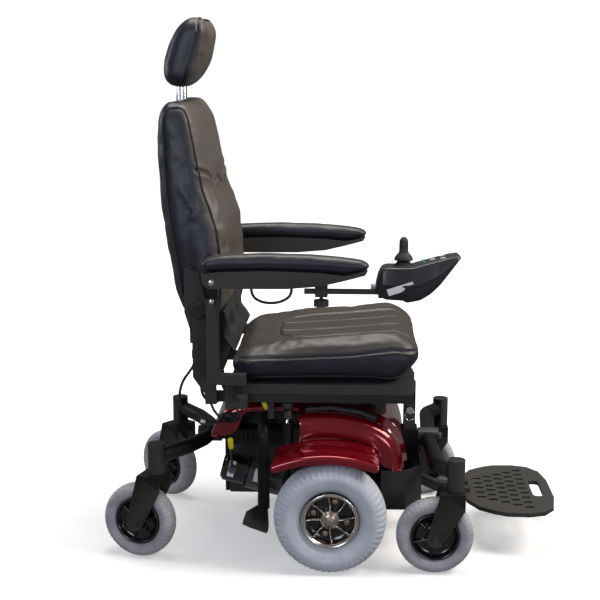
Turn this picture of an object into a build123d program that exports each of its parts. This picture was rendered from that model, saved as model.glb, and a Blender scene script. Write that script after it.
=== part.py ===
"""Mid-wheel-drive power wheelchair.

Millimetres, +Z up, the chair faces +X and its right side is -Y.
The origin is on the floor under the middle of the drive axle.
"""

import os
from math import cos, radians, sin, tan

from build123d import *

# ---------------------------------------------------------------- driving dimensions
DRIVE_R = 130.0           # drive tyre radius, so also the axle height
DRIVE_W = 82.0            # drive tyre width
DRIVE_Y = 263.0           # drive wheel centre plane from the middle
RIM_R = 61.0              # seat of the drive tyre on its rim
AXLE_SHAFT_R = 12.0

CASTER_R = 89.0           # caster tyre radius, so also the caster axle height
CASTER_W = 50.0
CASTER_HUB_R = 54.0
CASTER_TRAIL = 46.0       # wheel axle behind the swivel axis
FORK_GAP = 57.0           # between the fork's legs
FORK_PLATE = 6.0
FORK_FOOT_R = 20.0        # rounded lower end of each leg
FRONT_STEM = (287.0, 259.0)
REAR_STEM = (-409.0, 203.0)
FRONT_YAWS = {"right": 0.0, "left": 0.0}      # swivel angle that each caster rests at
REAR_YAWS = {"right": 17.0, "left": 38.0}
BARREL_R = 20.0
KINGPIN_R = 8.0
RUNNING = 0.3             # radial clearance of a shaft in its bore

FRONT_BEAM_Z = 240.0
REAR_BEAM_Z = 250.0
BEAM_R = 18.0
FRONT_PIVOT_X = 238.0
REAR_PIVOT_X = -301.0
PIVOT_R = 8.0

RAIL_Y = 82.0             # chassis rails
RAIL = 25.0
RAIL_TOP = 325.0
TRAY_Z = 116.0
ARM_PIVOT = (130.0, 150.0)      # x and z of the drive arm's pivot pin

SEAT_RAIL_Z = (386.0, 408.0)
SEAT_RAIL_Y = 200.0
PAN_TOP = 431.0
SEAT_HALF_W = 228.0
BACK_HALF_W = 220.0
BACK_PIVOT = (-300.0, 606.0)    # x and z of the recline pivot
ARM_Y = 263.0             # armrest centre plane
ARM_HALF_W = 27.0
FLIP_PIVOT = (-265.0, 679.0)    # x and z of the armrest's flip pivot
CONTROL_Y = -258.0        # control box centre plane
STICK_X = 159.0
STICK_Z = 716.0
POST_X = (174.0, 207.0)   # footrest post
PLATE_HINGE = (318.0, 112.0)    # x and z of the footplate's hinge

LOOM_PLATE_Z = 450.0      # underside of the cross plate that the looms hang from
GLAND_Y = -160.0          # outer face of the loom gland on the shroud

SIDES = {"right": -1, "left": 1}
os.makedirs("parts", exist_ok=True)


# ---------------------------------------------------------------- helpers
def write(piece, node):
    """Label a finished piece and write its STEP file."""
    piece.part.label = node
    export_step(piece.part, f"parts/{node}.step")


def block(x0, x1, y0, y1, z0, z1, mode=Mode.ADD):
    """Add or cut a square-cornered block given by its limits."""
    centre = ((x0 + x1) / 2, (y0 + y1) / 2, (z0 + z1) / 2)
    with Locations(centre):
        Box(abs(x1 - x0), abs(y1 - y0), abs(z1 - z0), mode=mode)


def rod(start, end, radius, mode=Mode.ADD):
    """Add or cut a straight round bar between two points."""
    along = Vector(*end) - Vector(*start)
    with BuildSketch(Plane(origin=start, z_dir=along)) as section:
        Circle(radius)
    extrude(section.sketch, amount=along.length, mode=mode)


def bent_tube(points, radius, bend):
    """Add a round tube along straight runs joined by arcs."""
    with BuildLine() as path:
        FilletPolyline(*points, radius=bend)
    first = Vector(*points[1]) - Vector(*points[0])
    with BuildSketch(Plane(origin=points[0], z_dir=first)) as section:
        Circle(radius)
    sweep(section.sketch, path=path.line)


def side_plane(y):
    """A plane across the chair at y, with local axes X and Z; it extrudes towards -Y."""
    return Plane(origin=(0, y, 0), x_dir=(1, 0, 0), z_dir=(0, -1, 0))


def side_profile(points, y_from, y_to, mode=Mode.ADD):
    """Extrude an X-Z outline between two values of y, y_from the larger."""
    with BuildSketch(side_plane(y_from)) as section:
        with BuildLine():
            Polyline(*points, close=True)
        make_face()
    extrude(section.sketch, amount=y_from - y_to, mode=mode)


def heading(yaw):
    """Forward and sideways directions of a caster turned by yaw degrees."""
    turn = radians(yaw)
    forward = Vector(cos(turn), -sin(turn), 0)
    sideways = Vector(sin(turn), cos(turn), 0)
    return forward, sideways


def wheel_plane(centre, sideways):
    """A plane through a wheel's axis: local x along the axle, local y upwards."""
    return Plane(origin=centre, x_dir=sideways, z_dir=sideways.cross(Vector(0, 0, 1)))


def cord_radii(points):
    """Bend radii for a cord: 0.45 of the shorter run over the tangent of half the turn."""
    radii = []
    spots = [Vector(*point) for point in points]
    for before, corner, after in zip(spots, spots[1:], spots[2:]):
        arriving = corner - before
        leaving = after - corner
        turn = radians(arriving.get_angle(leaving))
        radii.append(0.45 * min(arriving.length, leaving.length) / tan(turn / 2))
    return radii


# ---------------------------------------------------------------- drive wheels
def drive_tyre(side, hand):
    """Solid grey tyre: rounded tread and a ring crease on each sidewall."""
    centre = Vector(0, hand * DRIVE_Y, DRIVE_R)
    half = DRIVE_W / 2
    with BuildPart() as tyre:
        with BuildSketch(wheel_plane(centre, Vector(0, 1, 0))):
            with BuildLine():
                Polyline((-24, RIM_R), (-28, RIM_R + 7), (-half, 92))
                ThreePointArc((-half, 92), (-half + 6, 116), (-20, DRIVE_R - 1.5))
                ThreePointArc((-20, DRIVE_R - 1.5), (0, DRIVE_R), (20, DRIVE_R - 1.5))
                ThreePointArc((20, DRIVE_R - 1.5), (half - 6, 116), (half, 92))
                Polyline((half, 92), (28, RIM_R + 7), (24, RIM_R), (-24, RIM_R))
            make_face()
        revolve(axis=Axis(centre, (0, 1, 0)))
    write(tyre, f"drive_tyre_{side}")


def drive_rim(side, hand):
    """Alloy rim with a dished web, windows between its spokes, hub, shaft and nut."""
    centre = Vector(0, hand * DRIVE_Y, DRIVE_R)
    spokes = 8
    outward = Vector(0, hand, 0)
    face = centre + outward * 30
    with BuildPart() as rim:
        with BuildSketch(wheel_plane(centre, outward)):
            with BuildLine():
                Polyline((-34, 56), (-34, 66), (-31, 66), (-24, RIM_R - 0.3), (24, RIM_R - 0.3))
                Polyline((24, RIM_R - 0.3), (31, 66), (34, 66), (34, 56), (20, 52))
                Polyline((20, 52), (12, 50), (12, 24), (24, 20), (24, AXLE_SHAFT_R), (-20, AXLE_SHAFT_R))
                Polyline((-20, AXLE_SHAFT_R), (-20, 20), (4, 24), (4, 52), (-34, 56))
            make_face()
        revolve(axis=Axis(centre, outward))
        with BuildSketch(Plane(origin=centre + outward * 2, x_dir=(1, 0, 0), z_dir=outward)):
            with PolarLocations(37, spokes):
                SlotOverall(22, 13)
        extrude(amount=14, mode=Mode.SUBTRACT)
        rod(centre - outward * 78, face, AXLE_SHAFT_R - 0.1)
        with BuildSketch(Plane(origin=face, z_dir=outward)):
            RegularPolygon(14, 6)
        extrude(amount=8)
        with BuildSketch(Plane(origin=centre + outward * 24, z_dir=outward)):
            Circle(20)
            Circle(AXLE_SHAFT_R + 0.1, mode=Mode.SUBTRACT)
        extrude(amount=4)
        with BuildSketch(Plane(origin=centre + outward * 12, x_dir=(1, 0, 0), z_dir=outward)):
            with PolarLocations(33, 4, start_angle=22.5):
                Circle(3.2)
        extrude(amount=4)
    write(rim, f"drive_rim_{side}")


# ---------------------------------------------------------------- casters
def caster(node, stem, yaw):
    """A swivelling fork with its kingpin and axle bolt, and the wheel it carries."""
    forward, sideways = heading(yaw)
    top = Vector(stem[0], stem[1], 0)
    axle = top - forward * CASTER_TRAIL + Vector(0, 0, CASTER_R)
    half_gap = FORK_GAP / 2
    outer = half_gap + FORK_PLATE
    crown_low, crown_top = stem[2] - 12.0, stem[2]
    with BuildPart() as fork:
        for edge in (-half_gap, outer):
            plane = Plane(origin=top + sideways * edge, x_dir=forward, z_dir=-sideways)
            with BuildSketch(plane):
                with Locations((-8, crown_top - 19)):
                    Rectangle(56, 38)
                with Locations((-CASTER_TRAIL, CASTER_R)):
                    Circle(FORK_FOOT_R)
                make_hull()
                with Locations((-CASTER_TRAIL, CASTER_R)):
                    Circle(5.2, mode=Mode.SUBTRACT)
            extrude(amount=FORK_PLATE)
        with BuildSketch(Plane(origin=top + Vector(0, 0, crown_low), x_dir=forward, z_dir=(0, 0, 1))):
            with Locations((-8, 0)):
                Rectangle(56, 2 * outer)
        extrude(amount=crown_top - crown_low)
        rod(top + Vector(0, 0, crown_top), top + Vector(0, 0, crown_top + 74), KINGPIN_R)
        rod(axle - sideways * (outer + 1), axle + sideways * (outer + 1), 5.0)
        for hand in (-1, 1):
            head = Plane(origin=axle + sideways * outer * hand, z_dir=sideways * hand)
            with BuildSketch(head):
                RegularPolygon(9, 6)
            extrude(amount=6)
    write(fork, f"{node}_fork")
    half = CASTER_W / 2
    with BuildPart() as wheel:
        with BuildSketch(wheel_plane(axle, sideways)):
            with BuildLine():
                Polyline((-17, CASTER_HUB_R), (-half, 62))
                ThreePointArc((-half, 62), (-half + 3, 80), (-12, CASTER_R - 1))
                ThreePointArc((-12, CASTER_R - 1), (0, CASTER_R), (12, CASTER_R - 1))
                ThreePointArc((12, CASTER_R - 1), (half - 3, 80), (half, 62))
                Polyline((half, 62), (17, CASTER_HUB_R), (-17, CASTER_HUB_R))
            make_face()
        revolve(axis=Axis(axle, sideways))
        with BuildSketch(wheel_plane(axle, sideways)):
            with BuildLine():
                Polyline((-20, 46), (-20, CASTER_HUB_R - 0.2), (20, CASTER_HUB_R - 0.2), (20, 46))
                Polyline((20, 46), (6, 42), (6, 20), (27, 17), (27, 5 + RUNNING), (-27, 5 + RUNNING))
                Polyline((-27, 5 + RUNNING), (-27, 17), (-6, 20), (-6, 42), (-20, 46))
            make_face()
        revolve(axis=Axis(axle, sideways))
    write(wheel, f"{node}_wheel")


def beam(node, stem, points, pivot, bend):
    """A rocking cross tube with a swivel barrel at each end and a pivot boss."""
    pivot_x, pivot_z, boss_length = pivot
    with BuildPart() as made:
        mirrored = [(x, -y, z) for x, y, z in reversed(points) if y]
        bent_tube(points + mirrored, BEAM_R, bend)
        for hand in (-1, 1):
            foot = (stem[0], hand * stem[1], stem[2] + 1.0)
            head = (stem[0], hand * stem[1], stem[2] + 74.0)
            rod(foot, head, BARREL_R)
        start = (pivot_x - boss_length / 2, 0, pivot_z)
        end = (pivot_x + boss_length / 2, 0, pivot_z)
        rod(start, end, 25.0)
        rod(start, end, PIVOT_R + RUNNING, mode=Mode.SUBTRACT)
        for hand in (-1, 1):
            foot = (stem[0], hand * stem[1], stem[2])
            head = (stem[0], hand * stem[1], stem[2] + 75.0)
            rod(foot, head, KINGPIN_R + RUNNING, mode=Mode.SUBTRACT)
    write(made, node)


# ---------------------------------------------------------------- chassis
def base_frame():
    """Two upper rails, end plates, arm brackets and the pivot pins of the beams."""
    low = RAIL_TOP - RAIL
    with BuildPart() as frame:
        for hand in (-1, 1):
            block(-262, 130, hand * (RAIL_Y - 12), hand * (RAIL_Y + 12), low, RAIL_TOP)
            block(92, 152, hand * 100, hand * 112, 122, 180)
            block(144, 152, hand * 110, hand * 162.5, 113, 120)
            rod((ARM_PIVOT[0], hand * 106, ARM_PIVOT[1]), (ARM_PIVOT[0], hand * 152, ARM_PIVOT[1]), 9)
            block(150, 206, hand * 26, hand * 31, 214, 266)
            block(-167, -147, hand * (RAIL_Y + 10), hand * 122, low, RAIL_TOP)
        block(140, 152, -112, 112, TRAY_Z, 196)
        block(140, 152, -94, 94, 180, 290)
        block(118, 146, -94, 94, 284, 300)
        block(-262, -250, -60, 60, TRAY_Z, RAIL_TOP)
        block(-262, -250, -94, 94, low, RAIL_TOP)
        block(206, 211, -31, 31, 214, 266)
        rod((209, 0, FRONT_BEAM_Z), (270, 0, FRONT_BEAM_Z), PIVOT_R)
        rod((264, 0, FRONT_BEAM_Z), (271, 0, FRONT_BEAM_Z), 14)
        rod((-256, 0, REAR_BEAM_Z), (-336, 0, REAR_BEAM_Z), PIVOT_R)
        rod((-328, 0, REAR_BEAM_Z), (-335, 0, REAR_BEAM_Z), 14)
        rod((-262, 0, REAR_BEAM_Z), (-275, 0, REAR_BEAM_Z), 20)
    write(frame, "base_frame")


def battery_tray():
    """Folded tray under the batteries."""
    with BuildPart() as tray:
        block(-250, 140, -70, 70, TRAY_Z, TRAY_Z + 3)
        for hand in (-1, 1):
            block(-250, 140, hand * 67, hand * 70, TRAY_Z, TRAY_Z + 34)
    write(tray, "battery_tray")


def batteries():
    """Two sealed 12 V batteries with terminals, one behind the other."""
    floor = TRAY_Z + 3
    with BuildPart() as cells:
        for start in (-246, -52):
            block(start, start + 188, -65, 65, floor, floor + 158)
            for hand in (-1, 1):
                block(start + 20, start + 34, hand * 38, hand * 50, floor + 158, floor + 172)
    write(cells, "batteries")


def shroud():
    """Thin moulded cover: open below, notched at the sides and holed for the seat posts."""
    rear_low = [(-286, 222), (-289, 262), (-276, 318), (-250, 352), (-215, 365), (-120, 369)]
    front_low = [(0, 366), (85, 355), (132, 328), (160, 292), (170, 250), (171, 226)]
    outer = rear_low + front_low
    inner = [(-283, 200), (-286, 262), (-273.5, 316), (-248.5, 349), (-214.5, 362), (-120, 366)]
    inner += [(0, 363), (84, 352), (130, 326), (157, 291), (167, 249), (168, 200)]
    side_outer = [(-74, 200), (-74, 353), (-2, 357), (67, 347), (125, 324), (160, 289), (171, 228)]
    side_outer += [(171, 200)]
    side_inner = [(-71, 190), (-71, 350), (-2, 354), (66, 344), (123, 321), (157, 287), (168, 228)]
    side_inner += [(168, 190)]
    with BuildPart() as cover:
        side_profile(outer, 150, -150)
        side_profile(side_outer, 215, -215)
        side_profile(inner, 147, -147, Mode.SUBTRACT)
        side_profile(side_inner, 212, -212, Mode.SUBTRACT)
        block(-300, 200, -230, 230, 190, 226, Mode.SUBTRACT)
        block(-300, -84, -230, 230, 190, 284, Mode.SUBTRACT)
        block(-300, -262, -78, 78, 200, 288, Mode.SUBTRACT)
        block(140, 200, -34, 34, 200, 272, Mode.SUBTRACT)
        for hand in (-1, 1):
            with BuildSketch(side_plane(max(hand * 230, hand * 154))):
                with Locations((-5, DRIVE_R)):
                    Ellipse(136, 152)
            extrude(amount=76, mode=Mode.SUBTRACT)
            block(-212, -84, hand * 140, hand * 160, 200, 346, Mode.SUBTRACT)
            for post_x in (-170, 118):
                block(post_x - 17, post_x + 17, hand * 65, hand * 99, 300, 390, Mode.SUBTRACT)
        block(-262, -222, GLAND_Y, -149, 322, 340)
    write(cover, "shroud")


def shroud_trim():
    """Raised black strip along each upper edge of the shroud's front half."""
    with BuildPart() as trim:
        for hand in (-1, 1):
            near, far = max(hand * 154, hand * 172), min(hand * 154, hand * 172)
            outline = [(-60, 354.6), (-2, 358.6), (67, 348.4), (104, 334), (106, 341), (68, 356)]
            side_profile(outline + [(-2, 366), (-60, 362)], near, far)
    write(trim, "shroud_trim")


def fenders():
    """Arched mudguards over the drive wheels, with a turned-down lip."""
    with BuildPart() as guard:
        for hand in (-1, 1):
            plane = side_plane(max(hand * 215.5, hand * 303))
            with BuildSketch(plane):
                with BuildLine():
                    ThreePointArc((-134, 258), (-8, 294), (110, 258))
                    Line((110, 258), (107, 254))
                    ThreePointArc((107, 254), (-8, 290), (-131, 254))
                    Line((-131, 254), (-134, 258))
                make_face()
            extrude(amount=87.5)
            lip = side_plane(max(hand * 299, hand * 303))
            with BuildSketch(lip):
                with BuildLine():
                    ThreePointArc((-134, 258), (-8, 294), (110, 258))
                    Line((110, 258), (104, 247))
                    ThreePointArc((104, 247), (-8, 280), (-128, 247))
                    Line((-128, 247), (-134, 258))
                make_face()
            extrude(amount=4)
    write(guard, "fenders")


def front_cover():
    """Black lower cover wrapped round the front of the chassis."""
    with BuildPart() as cover:
        with BuildSketch(Plane.XY.offset(112)):
            with BuildLine():
                Polyline((118, -166), (176, -166), (216, -132), (216, 132), (176, 166), (118, 166))
                Polyline((118, 166), (118, 163), (175, 163), (213, 130), (213, -130), (175, -163))
                Polyline((175, -163), (118, -163), (118, -166))
            make_face()
        extrude(amount=98)
        block(200, 220, -22, 22, 100, 186, Mode.SUBTRACT)
    write(cover, "front_cover")


def power_module():
    """Finned drive controller above the right motor."""
    with BuildPart() as module:
        block(-240, -150, -138, -98, 262, 268)
        block(-240, -150, -138, -98, 268, 296)
        for count in range(8):
            start = -238 + count * 11.4
            block(start, start + 4, -147, -138, 264, 294)
    write(module, "power_module")


def seat_frame():
    """Four posts, two long rails and three cross tubes under the seat, with cable clips."""
    low, high = SEAT_RAIL_Z
    with BuildPart() as frame:
        for hand in (-1, 1):
            for post_x in (-170, 118):
                block(post_x - 12, post_x + 12, hand * 70, hand * 94, RAIL_TOP, low)
            inner, outer = hand * (SEAT_RAIL_Y - 11), hand * (SEAT_RAIL_Y + 11)
            block(-290, 188, inner, outer, low, high)
        for tube_x in (-170, 118):
            block(tube_x - 12, tube_x + 12, 1 - SEAT_RAIL_Y, SEAT_RAIL_Y - 1, low, high)
        block(-114, -90, 1 - SEAT_RAIL_Y, SEAT_RAIL_Y - 1, low, high)
        block(172, 188, 1 - SEAT_RAIL_Y, SEAT_RAIL_Y - 1, low, high)
        block(-147, -133, -196, -189.5, 342, low + 2)
    write(frame, "seat_frame")


def seat_pan():
    """Moulded pan that the seat cushion is bolted to."""
    with BuildPart() as pan:
        block(-236, 192, -218, 218, SEAT_RAIL_Z[1], PAN_TOP)
        fillet(pan.edges().filter_by(Axis.Z), 22)
    write(pan, "seat_pan")


def seat_cushion():
    """Seat pad: its plain outer form."""
    outline = [(-232, PAN_TOP), (165, PAN_TOP), (196, 452), (210, 530), (206, 546), (49, 532)]
    outline += [(-60, 524), (-204, 512), (-228, 505), (-238, 470)]
    with BuildPart() as cushion:
        side_profile(outline, SEAT_HALF_W, -SEAT_HALF_W)
        with BuildSketch(Plane.XY.offset(400)):
            with Locations((-15, 0)):
                RectangleRounded(452, 2 * SEAT_HALF_W, 45)
        extrude(amount=200, mode=Mode.INTERSECT)
    write(cushion, "seat_cushion")


def armrest_posts():
    """Square posts with a foot bolted to the seat frame, a tongue for the armrest's pivot."""
    x0, x1 = -279.0, -252.0
    with BuildPart() as posts:
        for hand in (-1, 1):
            block(x0, x1, hand * 250, hand * 276, 443, 640)
            block(x0, -191, hand * 250, hand * 276, 443, 466)
            block(-240, -191, hand * 211, hand * 262, 384, 408)
            block(-240, -215, hand * 238, hand * 262, 384, 450)
            rod((FLIP_PIVOT[0], hand * 255, FLIP_PIVOT[1]), (FLIP_PIVOT[0], hand * 271, FLIP_PIVOT[1]), 12)
            block(-277, -253, hand * 255, hand * 271, 636, FLIP_PIVOT[1])
            rod((FLIP_PIVOT[0], hand * 240, FLIP_PIVOT[1]), (FLIP_PIVOT[0], hand * 286, FLIP_PIVOT[1]), 4.5)
    write(posts, "armrest_posts")


def back_brackets():
    """Upright plates on the seat frame that carry the recline pivot."""
    with BuildPart() as brackets:
        for hand in (-1, 1):
            near, far = max(hand * 229, hand * 234), min(hand * 229, hand * 234)
            outline = [(-288, 386), (-262, 386), (-262, 430), (-282, 470), (-286, 600), (-292, 620)]
            outline += [(-308, 620), (-316, 600), (-316, 450), (-290, 412)]
            side_profile(outline, near, far)
            block(-286, -264, hand * 211, hand * 229, 388, 406)
            pivot_x, pivot_z = BACK_PIVOT
            rod((pivot_x, hand * 220.5, pivot_z), (pivot_x, hand * 232, pivot_z), 6)
        block(-308, -252, -229, 229, LOOM_PLATE_Z, LOOM_PLATE_Z + 10)
        block(-318, -306, -229, -217, 494, 512)
    write(brackets, "back_brackets")


def anti_tip_legs():
    """Bent tubes behind the drive wheels with a skid shoe at each foot."""
    with BuildPart() as legs:
        for hand in (-1, 1):
            y = hand * 208
            path = [(-157, hand * 122, 322), (-157, y, 322), (-157, y, 128)]
            bent_tube(path, 14, 26)
            shoe = [(-150, 70), (-146, 76), (-148, 130), (-172, 130), (-200, 112), (-207, 92)]
            shoe += [(-190, 84)]
            side_profile(shoe, max(y - 15, y + 15), min(y - 15, y + 15))
    write(legs, "anti_tip_legs")


def struts():
    """Suspension struts: domed cap and rod above, the spring round the rod."""
    with BuildPart() as rods:
        for hand in (-1, 1):
            x, y = -102, hand * SEAT_RAIL_Y
            rod((x, y, 300), (x, y, 386), 5)
            rod((x, y, 368), (x, y, 386), 14)
            with BuildSketch(Plane.XY.offset(343)):
                with Locations((x, y)):
                    Circle(12.5)
                    Circle(7.5, mode=Mode.SUBTRACT)
            extrude(amount=25)
    write(rods, "strut_springs")


def drive_arm(side, hand):
    """Trailing arm: pivot boss, gearbox, motor with brake cap, and the strut's lower half."""
    px, pz = ARM_PIVOT
    with BuildPart() as gearbox:
        block(-62, 48, hand * 114, hand * 196, 88, 174)
        fillet(gearbox.edges().filter_by(Axis.Y), 8)
        rod((px, hand * 114, pz), (px, hand * 150, pz), 22)
        block(40, px, hand * 118, hand * 146, pz - 20, pz + 20)
        rod((0, hand * 190, DRIVE_R), (0, hand * 214, DRIVE_R), 30)
        rod((px, hand * 100, pz), (px, hand * 160, pz), 9 + RUNNING, mode=Mode.SUBTRACT)
        rod((0, hand * 178, DRIVE_R), (0, hand * 220, DRIVE_R), AXLE_SHAFT_R + RUNNING, mode=Mode.SUBTRACT)
        x, y = -102, hand * SEAT_RAIL_Y
        rod((x, y, 275), (x, y, 336), 14)
        rod((x, y, 190), (x, y, 275), 8)
        rod((x, y, 290), (x, y, 340), 9.5, mode=Mode.SUBTRACT)
        rod((x, hand * 186, 194), (x, hand * 214, 194), 12)
        block(-114, -62, hand * 186, hand * 194, 150, 200)
    write(gearbox, f"gearbox_{side}")
    slope = Vector(-cos(radians(14)), 0, sin(radians(14)))
    nose = Vector(-62, hand * 112, 148)
    with BuildPart() as motor:
        with BuildSketch(Plane(origin=nose, z_dir=slope)):
            Circle(38)
        extrude(amount=150)
        with BuildSketch(Plane(origin=nose + slope * 150, z_dir=slope)):
            Circle(33)
        extrude(amount=58)
        chamfer(motor.faces().sort_by(Axis.X)[0].edges(), 8)
        block(-70, -40, -300, 300, 0, 400, Mode.SUBTRACT)
    write(motor, f"motor_{side}")


def levers():
    """Freewheel levers on the motors' brakes and the seat release, each with a gripped tip."""
    for side, hand in SIDES.items():
        with BuildPart() as lever:
            rod((-236, hand * 147, 204), (-236, hand * 164, 204), 9)
            rod((-236, hand * 158, 210), (-236, hand * 172, 262), 3.5)
            rod((-236, hand * 172, 262), (-237, hand * 178, 284), 6)
        write(lever, f"freewheel_lever_{side}")
    with BuildPart() as release:
        rod((-140, -189, 350), (-140, -160, 350), 7)
        rod((-140, -176, 352), (-150, -181, 366), 3.5)
        rod((-150, -181, 364), (-157, -181, 378), 5.5)
    write(release, "seat_release_lever")


# ---------------------------------------------------------------- backrest
def back_cushion():
    """High back pad: its plain outer form, bored for the headrest's posts."""
    rear = [(-322, 556), (-340, 600), (-353, 640), (-370, 740), (-383, 836), (-388, 950), (-387, 1045)]
    crown = [(-380, 1066), (-354, 1079), (-325, 1066)]
    front = [(-308, 1040), (-285, 939), (-272, 880), (-255, 831), (-241, 782), (-233, 720), (-232, 650)]
    front += [(-240, 600), (-256, 566), (-280, 552)]
    with BuildPart() as back:
        side_profile(rear + crown + front, BACK_HALF_W, -BACK_HALF_W)
        with BuildSketch(Plane(origin=(-200, 0, 0), x_dir=(0, 1, 0), z_dir=(1, 0, 0))):
            with BuildLine():
                Polyline((-BACK_HALF_W, 540), (-BACK_HALF_W, 760), (-192, 1050), (-160, 1082))
                Polyline((-160, 1082), (160, 1082), (192, 1050), (BACK_HALF_W, 760))
                Polyline((BACK_HALF_W, 760), (BACK_HALF_W, 540), (-BACK_HALF_W, 540))
            make_face()
        extrude(amount=-200, mode=Mode.INTERSECT)
        for hand in (-1, 1):
            rod((-362, hand * 55, 940), (-362, hand * 55, 1100), 7.5, mode=Mode.SUBTRACT)
    write(back, "back_cushion")


def back_frame():
    """Side plates of the folding back, joined by a bar below the pad."""
    pivot_x, pivot_z = BACK_PIVOT
    with BuildPart() as plates:
        for hand in (-1, 1):
            near, far = max(hand * 221, hand * 226), min(hand * 221, hand * 226)
            outline = [(-322, 560), (-284, 560), (-280, 600), (-300, 690), (-332, 700), (-334, 600)]
            side_profile(outline, near, far)
            ends = (pivot_x, hand * 210, pivot_z), (pivot_x, hand * 240, pivot_z)
            rod(*ends, 6 + RUNNING, mode=Mode.SUBTRACT)
        rod((-312, -221, 538), (-312, 221, 538), 9)
        for hand in (-1, 1):
            block(-322, -302, hand * 221, hand * 226, 528, 562)
    write(plates, "back_frame")


def recline_knob():
    """Hand wheel that locks the recline on the right side."""
    pivot_x, pivot_z = BACK_PIVOT
    with BuildPart() as knob:
        rod((pivot_x, -234.3, pivot_z), (pivot_x, -238, pivot_z), 9)
        rod((pivot_x, -238, pivot_z), (pivot_x, -246, pivot_z), 18)
        chamfer(knob.faces().sort_by(Axis.Y)[0].edges(), 2)
    write(knob, "recline_knob")


def headrest():
    """Pad on two notched posts that slide in the back."""
    outline = [(-391, 1112), (-386, 1160), (-370, 1206), (-348, 1243), (-318, 1260), (-298, 1250)]
    outline += [(-290, 1222), (-298, 1180), (-314, 1138), (-332, 1106), (-362, 1098), (-384, 1100)]
    with BuildPart() as pad:
        side_profile(outline, 118, -118)
        with BuildSketch(Plane(origin=(-280, 0, 0), x_dir=(0, 1, 0), z_dir=(1, 0, 0))):
            with Locations((0, 1181)):
                RectangleRounded(236, 166, 50)
        extrude(amount=-130, mode=Mode.INTERSECT)
        for hand in (-1, 1):
            rod((-362, hand * 55, 1090), (-362, hand * 55, 1160), 5.5, mode=Mode.SUBTRACT)
    write(pad, "headrest_pad")
    with BuildPart() as posts:
        for hand in (-1, 1):
            rod((-362, hand * 55, 960), (-362, hand * 55, 1160), 5.5)
            for notch in range(3):
                low = 1030 - notch * 20
                block(-370, -366, hand * 55 - 8, hand * 55 + 8, low, low + 3, Mode.SUBTRACT)
    write(posts, "headrest_posts")


# ---------------------------------------------------------------- armrests
def armrest(side, hand):
    """Moulded shell that flips up about the post, with the pad on top of it."""
    y = hand * ARM_Y
    low = [(-288, 697), (-284, 676), (-272, 665), (-98, 666), (-25, 672), (30, 685), (74, 697), (80, 706)]
    seam = [(30, 696), (-25, 702), (-147, 706), (-246, 703)]
    with BuildPart() as shell:
        side_profile(low + seam, y + ARM_HALF_W - 3, y - ARM_HALF_W + 3)
        block(-300, -250, y - 10, y + 10, 600, 697, Mode.SUBTRACT)
        pin = (FLIP_PIVOT[0], y - 23.5, FLIP_PIVOT[1]), (FLIP_PIVOT[0], y + 23.5, FLIP_PIVOT[1])
        rod(*pin, 4.5 + RUNNING, mode=Mode.SUBTRACT)
        if side == "right":
            block(-42, -2, y - 13, y + 13, 640, 690, Mode.SUBTRACT)
            block(-66, 90, y - 8, y + 8, 640, 666, Mode.SUBTRACT)
            block(-36, -8, y - 12.5, y + 12.5, 646, 649.5)
            for edge in (-1, 1):
                block(-36, -8, y + edge * 9, y + edge * 12.9, 649.5, 690)
            rod((-22, y, 640), (-22, y, 655), 4 + RUNNING, mode=Mode.SUBTRACT)
    write(shell, f"armrest_shell_{side}")
    top = [(-246, 703.3), (-147, 706.3), (-25, 702.3), (30, 696.3), (80, 706.5), (86, 716), (67, 728)]
    top += [(23, 733), (-50, 738), (-147, 740), (-246, 737), (-278, 731), (-290, 716), (-288, 697.5)]
    with BuildPart() as pad:
        side_profile(top, y + ARM_HALF_W, y - ARM_HALF_W)
        with BuildSketch(Plane.XY.offset(690)):
            with Locations((-102, y)):
                RectangleRounded(376, 2 * ARM_HALF_W, 24)
        extrude(amount=60, mode=Mode.INTERSECT)
    write(pad, f"armrest_pad_{side}")


def controller_arm():
    """Sliding bar under the right armrest and the knob that locks it."""
    y = -ARM_Y
    with BuildPart() as knob:
        rod((-22, y, 637), (-22, y, 651.5), 4)
        with BuildSketch(Plane(origin=(-22, y, 624), z_dir=(0, 0, 1))):
            Circle(17)
            with PolarLocations(19.5, 8):
                Circle(4.5, mode=Mode.SUBTRACT)
        extrude(amount=14)
    write(knob, "clamp_knob")
    with BuildPart() as bar:
        block(-60, 112, y - 8, y + 8, 652.5, 662.5)
        block(104, 112, y - 8, y + 8, 644, 662.5)
    write(bar, "controller_bar")


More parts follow.
